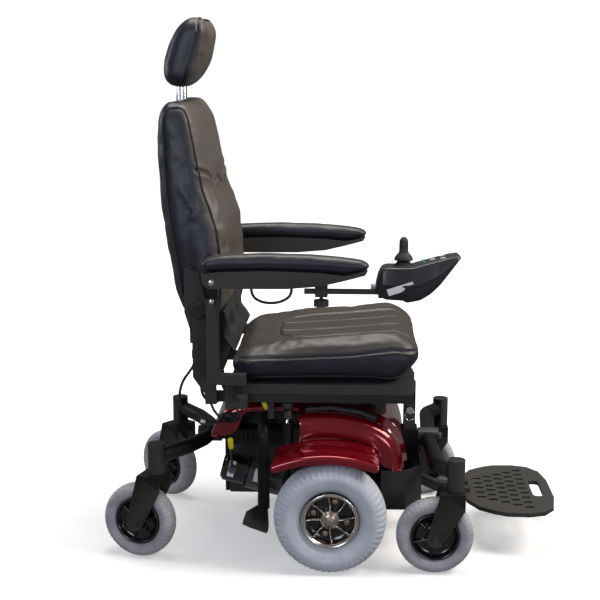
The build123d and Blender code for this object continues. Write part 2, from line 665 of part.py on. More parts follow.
def controller():
    """Joystick box: case, buttons, bellows gimbal and stick."""
    outline = [(112, 648), (121, 640), (139, 637), (170, 635), (196, 642), (218, 656), (240, 678)]
    outline += [(265, 712), (284, 737), (281, 743), (260, 739), (204, 725), (177, 718), (140, 718)]
    outline += [(118, 720), (112, 712)]
    top_tilt = radians(14)
    facing = Vector(-sin(top_tilt), 0, cos(top_tilt))
    spots = {"power_button": (244, -18), "horn_button": (244, 18), "speed_button": (222, 0)}
    with BuildPart() as case:
        side_profile(outline, CONTROL_Y + 44, CONTROL_Y - 44)
        with BuildSketch(Plane.XY.offset(600)):
            with Locations((198, CONTROL_Y)):
                RectangleRounded(174, 88, 26)
        extrude(amount=200, mode=Mode.INTERSECT)
        rod((STICK_X, CONTROL_Y, 704), (STICK_X, CONTROL_Y, 730), 19, mode=Mode.SUBTRACT)
        for spot_x, spot_y in spots.values():
            centre = Vector(spot_x, CONTROL_Y + spot_y, 735 + (spot_x - 244) * tan(top_tilt))
            rod(centre - facing * 6, centre + facing * 4, 6.4, mode=Mode.SUBTRACT)
    write(case, "controller_case")
    for node, (spot_x, spot_y) in spots.items():
        centre = Vector(spot_x, CONTROL_Y + spot_y, 735 + (spot_x - 244) * tan(top_tilt))
        with BuildPart() as button:
            rod(centre - facing * 4.3, centre + facing * 1.6, 6)
        write(button, node)
    with BuildPart() as gimbal:
        with BuildSketch(Plane(origin=(STICK_X, CONTROL_Y, 0), x_dir=(1, 0, 0), z_dir=(0, -1, 0))):
            with BuildLine():
                Polyline((9.5, 710), (14, 710), (14, 714), (12.5, 716), (13, 719), (11.5, 721))
                Polyline((11.5, 721), (12, 724), (10.5, 726), (9.5, 726), (9.5, 710))
            make_face()
        revolve(axis=Axis((STICK_X, CONTROL_Y, 0), (0, 0, 1)))
    write(gimbal, "joystick_bellows")
    with BuildPart() as stick:
        with BuildSketch(Plane(origin=(STICK_X, CONTROL_Y, 0), x_dir=(1, 0, 0), z_dir=(0, -1, 0))):
            with BuildLine():
                Polyline((0, 713), (4, 713), (4, 730), (20, 728.5), (21, 730), (14, 734), (7, 737))
                Polyline((7, 737), (6, 742), (6, 750), (10, 754), (12, 762), (12, 772), (9, 778))
                Polyline((9, 778), (4, 780), (0, 780), (0, 713))
            make_face()
        revolve(axis=Axis((STICK_X, CONTROL_Y, 0), (0, 0, 1)))
    write(stick, "joystick")


# ---------------------------------------------------------------- footrest
def footrest():
    """Post on the seat frame, sliding leg with its pull pin, and the folding footplate."""
    x0, x1 = POST_X[0] + 2, POST_X[1] - 2
    hinge_x, hinge_z = PLATE_HINGE
    with BuildPart() as post:
        block(x0, x1, -15, 15, 182, 384)
        block(x0 + 3, x1 - 3, -12, 12, 170, 380, Mode.SUBTRACT)
        block(189, 199, -34, 34, 372, 408)
        rod((198, 0, 408), (198, 0, 384), 4)
    write(post, "footrest_post")
    with BuildPart() as leg:
        block(x0 + 3.4, x1 - 3.4, -11.6, 11.6, 140, 330)
        side_profile([(179, 164), (179, 140), (262, 104), (304, 102), (304, 122), (262, 128)], 13, -13)
        rod((hinge_x, -40, hinge_z), (hinge_x, 40, hinge_z), 5)
        block(296, hinge_x, -14, 14, 103, 121)
    write(leg, "footrest_leg")
    with BuildPart() as pin:
        y = -15.3
        rod((190.5, y, 321), (190.5, y - 20, 321), 6)
        rod((190.5, y - 20, 321), (190.5, y - 28, 321), 9)
    write(pin, "height_pin")
    with BuildPart() as plate:
        with BuildSketch(Plane.XY.offset(101)):
            with BuildLine():
                right = [(330, -81), (356, -133), (392, -160), (420, -173), (470, -175), (508, -163)]
                right += [(534, -128), (545, -62)]
                left = [(x, -y) for x, y in reversed(right)]
                Polyline(*right, *left, close=True)
            make_face()
        extrude(amount=10)
        for count in range(5):
            x = 368 + count * 27
            for row in range(-4, 5):
                y = row * 33 + (count % 2) * 16
                if abs(y) > 62 + (x - 350) * 0.75 or abs(y) > 145:
                    continue
                with BuildSketch(Plane.XY.offset(95)):
                    with Locations((x, y)):
                        SlotOverall(24, 12)
                extrude(amount=30, mode=Mode.SUBTRACT)
        with BuildSketch(Plane.XY.offset(95)):
            with Locations((509, 0)):
                RectangleRounded(26, 110, 12)
        extrude(amount=30, mode=Mode.SUBTRACT)
        for hand in (-1, 1):
            block(hinge_x - 9, 342, hand * 18, hand * 36, 103, 121)
            rod((hinge_x, hand * 17, hinge_z), (hinge_x, hand * 37, hinge_z), 5 + RUNNING, mode=Mode.SUBTRACT)
    write(plate, "footplate")


# ---------------------------------------------------------------- cables
CABLE_R = 3.2
CONTROL_CABLE = [(-178, -263, 665.3), (-178, -263, 652), (-168, -264, 638), (-146, -265, 630),
                 (-118, -265, 631), (-96, -264, 641), (-88, -263, 654), (-88, -263, 666)]
OUTER_LOOM = [(-312, -223, 494), (-312, -223, 480), (-324, -222, 461), (-341, -220, 438),
              (-350, -218, 408), (-349, -216, 379), (-336, -213, 356), (-312, -207, 341),
              (-287, -198, 332), (-266, -188, 329), (-254, -175, 331), (-254, -160, 331)]
HANGING_LOOP = [(-300, -165, 450), (-300, -165, 431), (-307, -166, 407), (-300, -166, 382),
                (-277, -167, 369), (-254, -166, 382), (-247, -165, 407), (-254, -165, 431),
                (-254, -165, 450)]
MIDDLE_LOOM = [(-281, -180, 450), (-281, -180, 427), (-285, -181, 402), (-283, -182, 377),
               (-273, -187, 355), (-257, -189, 339), (-242, -179, 331), (-242, -160, 331)]
INNER_LOOM = [(-257, -180, 450), (-257, -180, 429), (-251, -181, 409), (-238, -182, 391),
              (-223, -185, 372), (-216, -188, 351), (-221, -186, 336), (-230, -176, 331),
              (-230, -160, 331)]


def cables():
    """Control lead clipped under the armrest, and the looms behind the seat."""
    with BuildPart() as lead:
        bent_tube(CONTROL_CABLE, CABLE_R, cord_radii(CONTROL_CABLE))
    write(lead, "control_cable")
    with BuildPart() as looms:
        for route in (OUTER_LOOM, HANGING_LOOP, MIDDLE_LOOM, INNER_LOOM):
            bent_tube(route, CABLE_R, cord_radii(route))
    write(looms, "seat_looms")
    for route in (CONTROL_CABLE, OUTER_LOOM, HANGING_LOOP, MIDDLE_LOOM, INNER_LOOM):
        print("bend radii", [round(value) for value in cord_radii(route)])


for side_name, sign in SIDES.items():
    drive_tyre(side_name, sign)
    drive_rim(side_name, sign)
    drive_arm(side_name, sign)
    armrest(side_name, sign)
    front = (FRONT_STEM[0], sign * FRONT_STEM[1], 196.0)
    rear = (REAR_STEM[0], sign * REAR_STEM[1], 208.0)
    caster(f"front_{side_name}", front, FRONT_YAWS[side_name])
    caster(f"rear_{side_name}", rear, REAR_YAWS[side_name])

base_frame()
battery_tray()
batteries()
shroud()
shroud_trim()
fenders()
front_cover()
power_module()
seat_frame()
seat_pan()
seat_cushion()
armrest_posts()
back_brackets()
anti_tip_legs()
struts()
levers()
front_path = [(276, -253, FRONT_BEAM_Z), (246, -212, FRONT_BEAM_Z), (FRONT_PIVOT_X, 0, FRONT_BEAM_Z)]
rear_path = [(-398, -197, REAR_BEAM_Z), (-346, -128, REAR_BEAM_Z), (-312, -62, REAR_BEAM_Z)]
rear_path += [(REAR_PIVOT_X, 0, REAR_BEAM_Z)]
beam("front_beam", (*FRONT_STEM, 196.0), front_path, (FRONT_PIVOT_X, FRONT_BEAM_Z, 50), [42, 300, 42])
beam("rear_beam", (*REAR_STEM, 208.0), rear_path, (REAR_PIVOT_X, REAR_BEAM_Z, 50), [70, 90, 120, 90, 70])
back_cushion()
back_frame()
recline_knob()
headrest()
controller_arm()
controller()
footrest()
cables()
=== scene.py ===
"""The looks of the power wheelchair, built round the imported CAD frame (Blender 4.5, metres)."""

import math

import bmesh
import bpy
import numpy as np
from mathutils import Matrix, Vector, noise


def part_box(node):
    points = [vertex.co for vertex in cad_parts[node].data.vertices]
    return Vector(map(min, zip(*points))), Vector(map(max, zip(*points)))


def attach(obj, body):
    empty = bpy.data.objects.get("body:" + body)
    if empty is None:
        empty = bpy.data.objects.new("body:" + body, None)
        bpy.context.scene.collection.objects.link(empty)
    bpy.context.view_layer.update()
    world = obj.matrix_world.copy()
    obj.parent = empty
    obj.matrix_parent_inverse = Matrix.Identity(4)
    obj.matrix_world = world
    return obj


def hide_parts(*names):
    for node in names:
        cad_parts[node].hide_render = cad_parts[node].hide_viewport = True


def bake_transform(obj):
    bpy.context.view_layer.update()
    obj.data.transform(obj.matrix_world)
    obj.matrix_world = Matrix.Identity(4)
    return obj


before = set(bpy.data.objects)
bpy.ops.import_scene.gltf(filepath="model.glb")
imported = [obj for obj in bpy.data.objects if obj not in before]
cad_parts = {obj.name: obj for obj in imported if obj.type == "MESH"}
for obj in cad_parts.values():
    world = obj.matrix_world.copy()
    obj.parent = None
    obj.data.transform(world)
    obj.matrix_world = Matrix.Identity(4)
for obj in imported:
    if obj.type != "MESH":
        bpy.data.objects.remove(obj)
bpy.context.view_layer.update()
MM = 0.001
SIDES = {"right": -1, "left": 1}

# Places that the CAD model fixes, in metres.
DRIVE_R, DRIVE_Y = 0.130, 0.263
CASTER_R, TRAIL = 0.089, 0.046
FRONT_STEM, REAR_STEM = (0.287, 0.259), (-0.409, 0.203)
YAWS = {"front_right": 0.0, "front_left": 0.0, "rear_right": 17.0, "rear_left": 38.0}
ARM_Y, CONTROL_Y = 0.263, -0.258
CABLE_D = 0.0064


# ---------------------------------------------------------------- camera and light
def make_camera():
    """The photograph's viewing angle: a long lens at the chair's right side."""
    turn, lift, distance = math.radians(2.44), math.radians(11.11), 2.9583
    back = Vector((math.sin(turn) * math.cos(lift), -math.cos(turn) * math.cos(lift), math.sin(lift)))
    target = Vector((-0.0806, 0.0, 0.5857))
    data = bpy.data.cameras.new("camera")
    data.lens, data.sensor_width = 72.58, 36.0
    camera = bpy.data.objects.new("camera", data)
    camera.location = target + back * distance
    camera.rotation_euler = (-back).to_track_quat("-Z", "Y").to_euler()
    bpy.context.scene.collection.objects.link(camera)
    bpy.context.scene.camera = camera


def area_light(name, place, target, size, power, tint):
    """A soft square lamp aimed at a point."""
    data = bpy.data.lights.new(name, "AREA")
    data.shape, data.size, data.energy, data.color = "SQUARE", size, power, tint
    lamp = bpy.data.objects.new(name, data)
    lamp.location = place
    lamp.rotation_euler = (Vector(target) - Vector(place)).to_track_quat("-Z", "Y").to_euler()
    bpy.context.scene.collection.objects.link(lamp)


def make_studio():
    """White floor, white surroundings, a broad warm key above the front and a cool side fill."""
    scene = bpy.context.scene
    scene.view_settings.view_transform = "Standard"
    world = bpy.data.worlds.new("studio")
    scene.world = world
    world.use_nodes = True
    nodes, links = world.node_tree.nodes, world.node_tree.links
    background = nodes["Background"]
    background.inputs["Color"].default_value = (1, 1, 1, 1)
    background.inputs["Strength"].default_value = 1.0
    rays = nodes.new("ShaderNodeLightPath")
    dim = nodes.new("ShaderNodeMix")
    dim.inputs["A"].default_value = 0.16
    dim.inputs["B"].default_value = 1.05
    links.new(rays.outputs["Is Camera Ray"], dim.inputs["Factor"])
    links.new(dim.outputs["Result"], background.inputs["Strength"])
    bpy.ops.mesh.primitive_plane_add(size=14.0, location=(0, 0, 0))
    floor = bpy.context.object
    floor.name = "floor"
    floor.visible_glossy = False
    floor.visible_diffuse = False
    floor.data.materials.append(plain_floor())
    area_light("key_front", (2.3, -0.5, 2.5), (-0.1, 0, 0.7), 1.3, 70, (1.0, 0.93, 0.85))
    area_light("top", (0.0, 0.2, 3.0), (0, 0, 0.4), 1.6, 62, (1.0, 0.97, 0.94))
    area_light("side_cool", (-1.2, -3.2, 1.5), (-0.2, 0, 0.6), 1.0, 24, (0.78, 0.84, 1.0))
    area_light("side_low", (1.6, -3.4, 0.7), (0.1, 0, 0.3), 0.9, 16, (0.88, 0.92, 1.0))
    area_light("rim_rear", (-2.6, 0.6, 1.5), (-0.3, 0, 0.8), 1.0, 14, (0.85, 0.9, 1.0))


def plain_floor():
    """Bright matt white that also emits light: the emission is weaker near the chair, a painted shade round it that
    also lets the lamps' contact shadows show, and stronger further out, so the ground reads white.
    """
    made = bpy.data.materials.new("floor_white")
    made.use_nodes = True
    shader = made.node_tree.nodes["Principled BSDF"]
    shader.inputs["Base Color"].default_value = (0.9, 0.9, 0.9, 1)
    shader.inputs["Roughness"].default_value = 0.85
    shader.inputs["Emission Color"].default_value = (1, 1, 1, 1)
    nodes, links = made.node_tree.nodes, made.node_tree.links
    place = nodes.new("ShaderNodeTexCoord")
    distance = nodes.new("ShaderNodeVectorMath")
    distance.operation = "LENGTH"
    links.new(place.outputs["Object"], distance.inputs[0])
    # painted shade: emission rises with distance from the chair, so the floor round it reads darker
    painted_shade_glow = nodes.new("ShaderNodeMapRange")
    painted_shade_glow.interpolation_type = "SMOOTHSTEP"
    painted_shade_glow.inputs["From Min"].default_value, painted_shade_glow.inputs["From Max"].default_value = 0.5, 2.2
    painted_shade_glow.inputs["To Min"].default_value, painted_shade_glow.inputs["To Max"].default_value = 0.34, 1.1
    links.new(distance.outputs["Value"], painted_shade_glow.inputs["Value"])
    links.new(painted_shade_glow.outputs["Result"], shader.inputs["Emission Strength"])
    return made


# ---------------------------------------------------------------- materials
def surface(name, dark, light, rough, metallic=0.0, coat=0.0, patch=14.0, grain=900.0,
            bump=0.15, depth=0.0002, grain_kind="noise", wear=None, shine=0.5):
    """A Principled material: colour drifts between two tones, roughness drifts, fine grain in the bump.

    rough is (smoothest, roughest); patch and grain are noise scales per metre; wear lightens
    exposed edges towards a colour.
    """
    made = bpy.data.materials.new(name)
    made.use_nodes = True
    nodes, links = made.node_tree.nodes, made.node_tree.links
    shader = nodes["Principled BSDF"]
    shader.inputs["Metallic"].default_value = metallic
    shader.inputs["Coat Weight"].default_value = coat
    shader.inputs["Coat Roughness"].default_value = 0.04
    shader.inputs["Specular IOR Level"].default_value = shine
    place = nodes.new("ShaderNodeTexCoord")
    drift = nodes.new("ShaderNodeTexNoise")
    drift.inputs["Scale"].default_value = patch
    drift.inputs["Detail"].default_value = 5.0
    links.new(place.outputs["Object"], drift.inputs["Vector"])
    tone = nodes.new("ShaderNodeValToRGB")
    tone.color_ramp.elements[0].position, tone.color_ramp.elements[1].position = 0.35, 0.68
    tone.color_ramp.elements[0].color = (*dark, 1)
    tone.color_ramp.elements[1].color = (*light, 1)
    links.new(drift.outputs["Fac"], tone.inputs["Fac"])
    colour = tone.outputs["Color"]
    if wear:
        shape = nodes.new("ShaderNodeNewGeometry")
        edge = nodes.new("ShaderNodeMapRange")
        edge.inputs["From Min"].default_value, edge.inputs["From Max"].default_value = 0.53, 0.60
        links.new(shape.outputs["Pointiness"], edge.inputs["Value"])
        mix = nodes.new("ShaderNodeMix")
        mix.data_type = "RGBA"
        mix.inputs["B"].default_value = (*wear, 1)
        links.new(edge.outputs["Result"], mix.inputs["Factor"])
        links.new(colour, mix.inputs["A"])
        colour = mix.outputs["Result"]
    links.new(colour, shader.inputs["Base Color"])
    gloss = nodes.new("ShaderNodeMapRange")
    gloss.inputs["To Min"].default_value, gloss.inputs["To Max"].default_value = rough
    links.new(drift.outputs["Fac"], gloss.inputs["Value"])
    links.new(gloss.outputs["Result"], shader.inputs["Roughness"])
    if grain_kind == "pebble":
        fine = nodes.new("ShaderNodeTexVoronoi")
        fine.inputs["Scale"].default_value = grain
        height = fine.outputs["Distance"]
    else:
        fine = nodes.new("ShaderNodeTexNoise")
        fine.inputs["Scale"].default_value = grain
        fine.inputs["Detail"].default_value = 3.0
        height = fine.outputs["Fac"]
    links.new(place.outputs["Object"], fine.inputs["Vector"])
    raised = nodes.new("ShaderNodeBump")
    raised.inputs["Strength"].default_value = bump
    raised.inputs["Distance"].default_value = depth
    links.new(height, raised.inputs["Height"])
    links.new(raised.outputs["Normal"], shader.inputs["Normal"])
    return made


def vinyl(name, side_tone, painted_light_tone, direction, start=0.15, end=0.75):
    """Upholstery vinyl: pebble grain, soft creases, and a painted highlight that makes the faces turned one way paler.

    direction is the way those lit faces look; the tone turns from one to the other as faces turn to it.
    """
    made = surface(name, side_tone, tuple(v * 1.25 for v in side_tone), (0.36, 0.50),
                   patch=9.0, grain=780.0, bump=0.35, depth=0.0003, grain_kind="pebble")
    nodes, links = made.node_tree.nodes, made.node_tree.links
    shader = nodes["Principled BSDF"]
    shader.inputs["Specular IOR Level"].default_value = 0.55
    shape = nodes.new("ShaderNodeNewGeometry")
    facing = nodes.new("ShaderNodeVectorMath")
    facing.operation = "DOT_PRODUCT"
    facing.inputs[1].default_value = Vector(direction).normalized()
    links.new(shape.outputs["Normal"], facing.inputs[0])
    painted_light_mask = nodes.new("ShaderNodeMapRange")
    painted_light_mask.interpolation_type = "SMOOTHSTEP"
    painted_light_mask.inputs["From Min"].default_value, painted_light_mask.inputs["From Max"].default_value = start, end
    links.new(facing.outputs["Value"], painted_light_mask.inputs["Value"])
    # painted light: faces that turn towards direction blend into the paler lit tone
    mix = nodes.new("ShaderNodeMix")
    mix.data_type = "RGBA"
    mix.inputs["B"].default_value = (*painted_light_tone, 1)
    links.new(painted_light_mask.outputs["Result"], mix.inputs["Factor"])
    old = shader.inputs["Base Color"].links[0].from_socket
    links.new(old, mix.inputs["A"])
    links.new(mix.outputs["Result"], shader.inputs["Base Color"])
    return made


def candy_red():
    """Metallic red under clear coat: darker flakes below, fine orange-peel above."""
    made = surface("candy_red", (0.24, 0.0022, 0.010), (0.34, 0.004, 0.018), (0.16, 0.24), metallic=0.55,
                   coat=1.0, patch=5.0, grain=260.0, bump=0.03, depth=0.0002)
    nodes, links = made.node_tree.nodes, made.node_tree.links
    flake = nodes.new("ShaderNodeTexVoronoi")
    flake.inputs["Scale"].default_value = 2600.0
    place = [n for n in nodes if n.type == "TEX_COORD"][0]
    links.new(place.outputs["Object"], flake.inputs["Vector"])
    mix = nodes.new("ShaderNodeMix")
    mix.data_type = "RGBA"
    mix.blend_type = "MULTIPLY"
    mix.inputs["Factor"].default_value = 0.25
    shader = nodes["Principled BSDF"]
    old = shader.inputs["Base Color"].links[0].from_socket
    links.new(old, mix.inputs["A"])
    links.new(flake.outputs["Color"], mix.inputs["B"])
    links.new(mix.outputs["Result"], shader.inputs["Base Color"])
    return made


def make_materials():
    """Every finish on the chair."""
    made = {}
    made["tyre"] = surface("tyre_grey", (0.54, 0.57, 0.65), (0.64, 0.67, 0.75), (0.62, 0.8), patch=26.0,
                           grain=500.0, bump=0.3, depth=0.0003)
    made["caster_tyre"] = surface("caster_tyre_grey", (0.36, 0.35, 0.38), (0.50, 0.49, 0.53), (0.6, 0.8),
                                  patch=30.0, grain=500.0, bump=0.3, depth=0.0003)
    made["alloy"] = surface("polished_alloy", (0.72, 0.66, 0.60), (0.90, 0.86, 0.82), (0.12, 0.26),
                            metallic=1.0, patch=30.0, grain=1400.0, bump=0.04)
    made["pocket"] = surface("rim_pocket_black", (0.004, 0.004, 0.005), (0.012, 0.012, 0.014), (0.12, 0.3),
                             coat=0.6, patch=20.0, grain=600.0, bump=0.05)
    made["hub_disc"] = surface("hub_disc_bronze", (0.42, 0.30, 0.22), (0.62, 0.48, 0.38), (0.25, 0.4),
                               metallic=1.0, patch=60.0, grain=900.0, bump=0.08)
    made["chrome"] = surface("chrome", (0.78, 0.78, 0.80), (0.88, 0.88, 0.90), (0.05, 0.12), metallic=1.0,
                             patch=40.0, grain=900.0, bump=0.02)
    made["zinc"] = surface("zinc_bolt", (0.42, 0.42, 0.42), (0.62, 0.62, 0.60), (0.25, 0.45), metallic=1.0,
                           patch=80.0, grain=900.0, bump=0.08)
    made["paint"] = surface("black_powder_coat", (0.005, 0.005, 0.006), (0.010, 0.009, 0.009), (0.34, 0.5),
                            patch=10.0, grain=650.0, bump=0.22, depth=0.0003, wear=(0.05, 0.048, 0.046), shine=0.2)
    made["fork"] = surface("fork_coat", (0.010, 0.008, 0.007), (0.017, 0.013, 0.011), (0.38, 0.52),
                           patch=12.0, grain=650.0, bump=0.25, depth=0.0003, wear=(0.06, 0.055, 0.05), shine=0.25)
    made["enamel"] = surface("black_enamel", (0.006, 0.006, 0.008), (0.012, 0.012, 0.015), (0.10, 0.2),
                             coat=0.8, patch=8.0, grain=300.0, bump=0.04, wear=(0.10, 0.10, 0.11))
    made["plastic"] = surface("moulded_black", (0.010, 0.010, 0.011), (0.019, 0.018, 0.019), (0.42, 0.55),
                              patch=12.0, grain=1100.0, bump=0.28, depth=0.0002, wear=(0.045, 0.044, 0.044), shine=0.3)
    made["satin"] = surface("satin_case", (0.016, 0.016, 0.020), (0.026, 0.026, 0.031), (0.26, 0.36),
                            patch=12.0, grain=1300.0, bump=0.12, wear=(0.06, 0.06, 0.065))
    made["rubber"] = surface("soft_rubber", (0.012, 0.012, 0.013), (0.022, 0.021, 0.022), (0.55, 0.7),
                             patch=30.0, grain=1200.0, bump=0.3)
    made["cable"] = surface("cable_sheath", (0.010, 0.010, 0.012), (0.018, 0.018, 0.020), (0.35, 0.5),
                            patch=60.0, grain=1200.0, bump=0.1)
    made["fins"] = surface("anodised_fins", (0.020, 0.020, 0.022), (0.035, 0.035, 0.038), (0.3, 0.45),
                           metallic=0.8, patch=20.0, grain=900.0, bump=0.1)
    made["yellow"] = surface("yellow_grip", (0.80, 0.66, 0.01), (0.95, 0.82, 0.03), (0.4, 0.55), patch=60.0,
                             grain=900.0, bump=0.2)
    made["label"] = surface("white_label", (0.86, 0.87, 0.89), (0.95, 0.95, 0.96), (0.3, 0.4), patch=70.0,
                            grain=500.0, bump=0.05)
    made["led"] = surface("green_lamp", (0.02, 0.25, 0.05), (0.05, 0.45, 0.10), (0.2, 0.3), patch=80.0)
    made["connector"] = surface("grey_connector", (0.42, 0.43, 0.45), (0.58, 0.59, 0.60), (0.35, 0.5),
                                patch=60.0, grain=900.0, bump=0.1)
    made["red"] = candy_red()
    # warm and the second tones below are painted light: paler lit tones for the faces of each pad that turn to the
    # lamps
    side, warm = (0.012, 0.013, 0.022), (0.046, 0.039, 0.034)
    made["seat_vinyl"] = vinyl("seat_vinyl", side, warm, (0.15, 0, 1))
    made["back_vinyl"] = vinyl("back_vinyl", side, (0.088, 0.074, 0.064), (1, 0, 0.25), 0.2, 0.8)
    made["arm_vinyl"] = vinyl("arm_vinyl", side, (0.036, 0.034, 0.034), (0, 0, 1), 0.3, 0.9)
    made["piping"] = surface("vinyl_piping", (0.010, 0.010, 0.011), (0.016, 0.015, 0.016), (0.38, 0.5),
                             patch=40.0, grain=900.0, bump=0.2)
    return made


make_camera()
MAT = make_materials()
make_studio()


# ---------------------------------------------------------------- mesh helpers
def mesh_object(name, verts, faces, material, smooth=True):
    """A new mesh object, with its faces turned outwards."""
    mesh = bpy.data.meshes.new(name)
    mesh.from_pydata([tuple(v) for v in verts], [], faces)
    shape = bmesh.new()
    shape.from_mesh(mesh)
    bmesh.ops.recalc_face_normals(shape, faces=shape.faces)
    shape.to_mesh(mesh)
    shape.free()
    made = bpy.data.objects.new(name, mesh)
    bpy.context.scene.collection.objects.link(made)
    if material:
        mesh.materials.append(material)
    for face in mesh.polygons:
        face.use_smooth = smooth
    return made


def add_bevel(made, width, segments=3, angle=35):
    """Rounded edges by a modifier."""
    bevel = made.modifiers.new("bevel", "BEVEL")
    bevel.width, bevel.segments = width, segments
    bevel.limit_method, bevel.angle_limit = "ANGLE", math.radians(angle)
    bevel.harden_normals = False
    return made


def lathe(name, profile, centre, axis, material, segments=96, closed=True, wobble=None):
    """A turned form. profile holds (distance along the axis, radius); wobble(i, angle, along, radius)
    may change a radius."""
    axis = Vector(axis).normalized()
    across = axis.orthogonal().normalized()
    if abs(axis.z) < 0.9:
        across = axis.cross(Vector((0, 0, 1))).normalized()
    third = axis.cross(across)
    centre = Vector(centre)
    verts, count = [], len(profile)
    for i in range(segments):
        angle = 2 * math.pi * i / segments
        spoke = across * math.cos(angle) + third * math.sin(angle)
        for along, radius in profile:
            if wobble:
                radius = wobble(i, angle, along, radius)
            verts.append(centre + axis * along + spoke * radius)
    faces = []
    last = count if closed else count - 1
    for i in range(segments):
        here, there = i * count, ((i + 1) % segments) * count
        for j in range(last):
            k = (j + 1) % count
            faces.append((here + j, here + k, there + k, there + j))
    made = mesh_object(name, verts, faces, material)
    shape = bmesh.new()
    shape.from_mesh(made.data)
    bmesh.ops.remove_doubles(shape, verts=shape.verts, dist=1e-6)
    bmesh.ops.recalc_face_normals(shape, faces=shape.faces)
    shape.to_mesh(made.data)
    shape.free()
    return made


def disc_profile(radius, low, high, rounding):
    """A closed turned disc with rounded rims, from along low to along high."""
    outline = [(low, 0.0)]
    for step in range(4):
        turn = math.pi / 2 * step / 3
        outline.append((low + rounding * (1 - math.cos(turn)), radius - rounding * (1 - math.sin(turn))))
    for step in range(4):
        turn = math.pi / 2 * step / 3
        outline.append((high - rounding * (1 - math.sin(turn)), radius - rounding * (1 - math.cos(turn))))
    outline.append((high, 0.0))
    return outline


def tube(name, points, radius, material, closed=False, sections=8, order=3):
    """A round bar along a smooth line, as a mesh."""
    data = bpy.data.curves.new(name, "CURVE")
    data.dimensions = "3D"
    data.bevel_depth, data.bevel_resolution, data.use_fill_caps = radius, sections // 2, not closed
    spline = data.splines.new("NURBS")
    spline.points.add(len(points) - 1)
    for spot, point in zip(spline.points, points):
        spot.co = (*point, 1.0)
    spline.order_u = order
    spline.use_endpoint_u = not closed
    spline.use_cyclic_u = closed
    spline.resolution_u = 8
    line = bpy.data.objects.new(name + "_line", data)
    bpy.context.scene.collection.objects.link(line)
    bpy.context.view_layer.update()
    mesh = bpy.data.meshes.new_from_object(line.evaluated_get(bpy.context.evaluated_depsgraph_get()))
    bpy.data.objects.remove(line)
    mesh.materials.clear()
    mesh.materials.append(material)
    for face in mesh.polygons:
        face.use_smooth = True
    made = bpy.data.objects.new(name, mesh)
    bpy.context.scene.collection.objects.link(made)
    return made


def joined(name, objects):
    """Several meshes as one piece that keeps each one's material."""
    bpy.ops.object.select_all(action="DESELECT")
    for made in objects:
        made.select_set(True)
    bpy.context.view_layer.objects.active = objects[0]
    bpy.ops.object.join()
    objects[0].name = name
    return objects[0]


def put(made, body, slot_name, *nodes):
    """Rides the piece on its body and stands it for CAD nodes, which it hides; slot_name is not used."""
    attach(made, body)
    if nodes:
        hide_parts(*nodes)
    return made


def bolt(name, centre, axis, radius, height, material, body, slot_name):
    """A hex head with a washer and a domed top."""
    axis = Vector(axis).normalized()
    washer = lathe(name + "_washer", disc_profile(radius * 1.35, 0.0, height * 0.25, height * 0.1), centre,
                   axis, material, 32, closed=False)
    flat = radius * math.cos(math.pi / 6)

    def hexed(i, angle, along, wanted):
        part = (angle + math.pi / 6) % (math.pi / 3) - math.pi / 6
        return min(wanted, flat / math.cos(part)) if wanted > flat else wanted

    head = lathe(name + "_head", disc_profile(radius, height * 0.25, height, height * 0.18), centre, axis,
                 material, 48, closed=False, wobble=hexed)
    return put(joined(name, [head, washer]), body, slot_name)


# ---------------------------------------------------------------- finishes of the CAD nodes that stay
CAD_FINISH = {
    "paint": ["anti_tip_legs", "back_brackets", "back_frame", "base_frame", "battery_tray", "front_beam",
              "rear_beam", "footrest_leg", "footrest_post", "seat_frame", "controller_bar", "footplate",
              "armrest_posts", "front_cover"],
    "fork": ["front_left_fork", "front_right_fork", "rear_left_fork", "rear_right_fork"],
    "plastic": ["armrest_shell_left", "armrest_shell_right", "batteries", "seat_pan", "shroud_trim",
                "recline_knob", "clamp_knob"],
    "fins": ["power_module", "gearbox_left", "gearbox_right"],
    "chrome": ["headrest_posts", "height_pin"],
    "enamel": ["motor_left", "motor_right", "freewheel_lever_left",
               "freewheel_lever_right", "seat_release_lever"],
    "connector": ["horn_button", "power_button", "speed_button"],
}
BEVELS = {"footplate": 0.002,
          "front_cover": 0.0012, "armrest_shell_left": 0.004, "armrest_shell_right": 0.004,
          "front_left_fork": 0.004, "front_right_fork": 0.004, "rear_left_fork": 0.004, "rear_right_fork": 0.004}


def finish_cad():
    """Materials and rounded edges on the CAD nodes that show as they are."""
    for finish, names in CAD_FINISH.items():
        for name in names:
            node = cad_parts[name]
            node.data.materials.clear()
            node.data.materials.append(MAT[finish])
            add_bevel(node, BEVELS.get(name, 0.0015), 3)


# ---------------------------------------------------------------- wheels
def oval_ring(half_width, low_r, high_r, square, count=48):
    """The closed section of a tyre: a squared oval between two radii."""
    middle, half = (low_r + high_r) / 2, (high_r - low_r) / 2
    section = []
    for step in range(count):
        turn = 2 * math.pi * step / count
        across, up = math.cos(turn), math.sin(turn)
        across = math.copysign(abs(across) ** (2 / square), across)
        up = math.copysign(abs(up) ** (2 / square), up)
        if up < 0:
            across *= 1 + 0.22 * up
        section.append((half_width * across, middle + half * up))
    return section


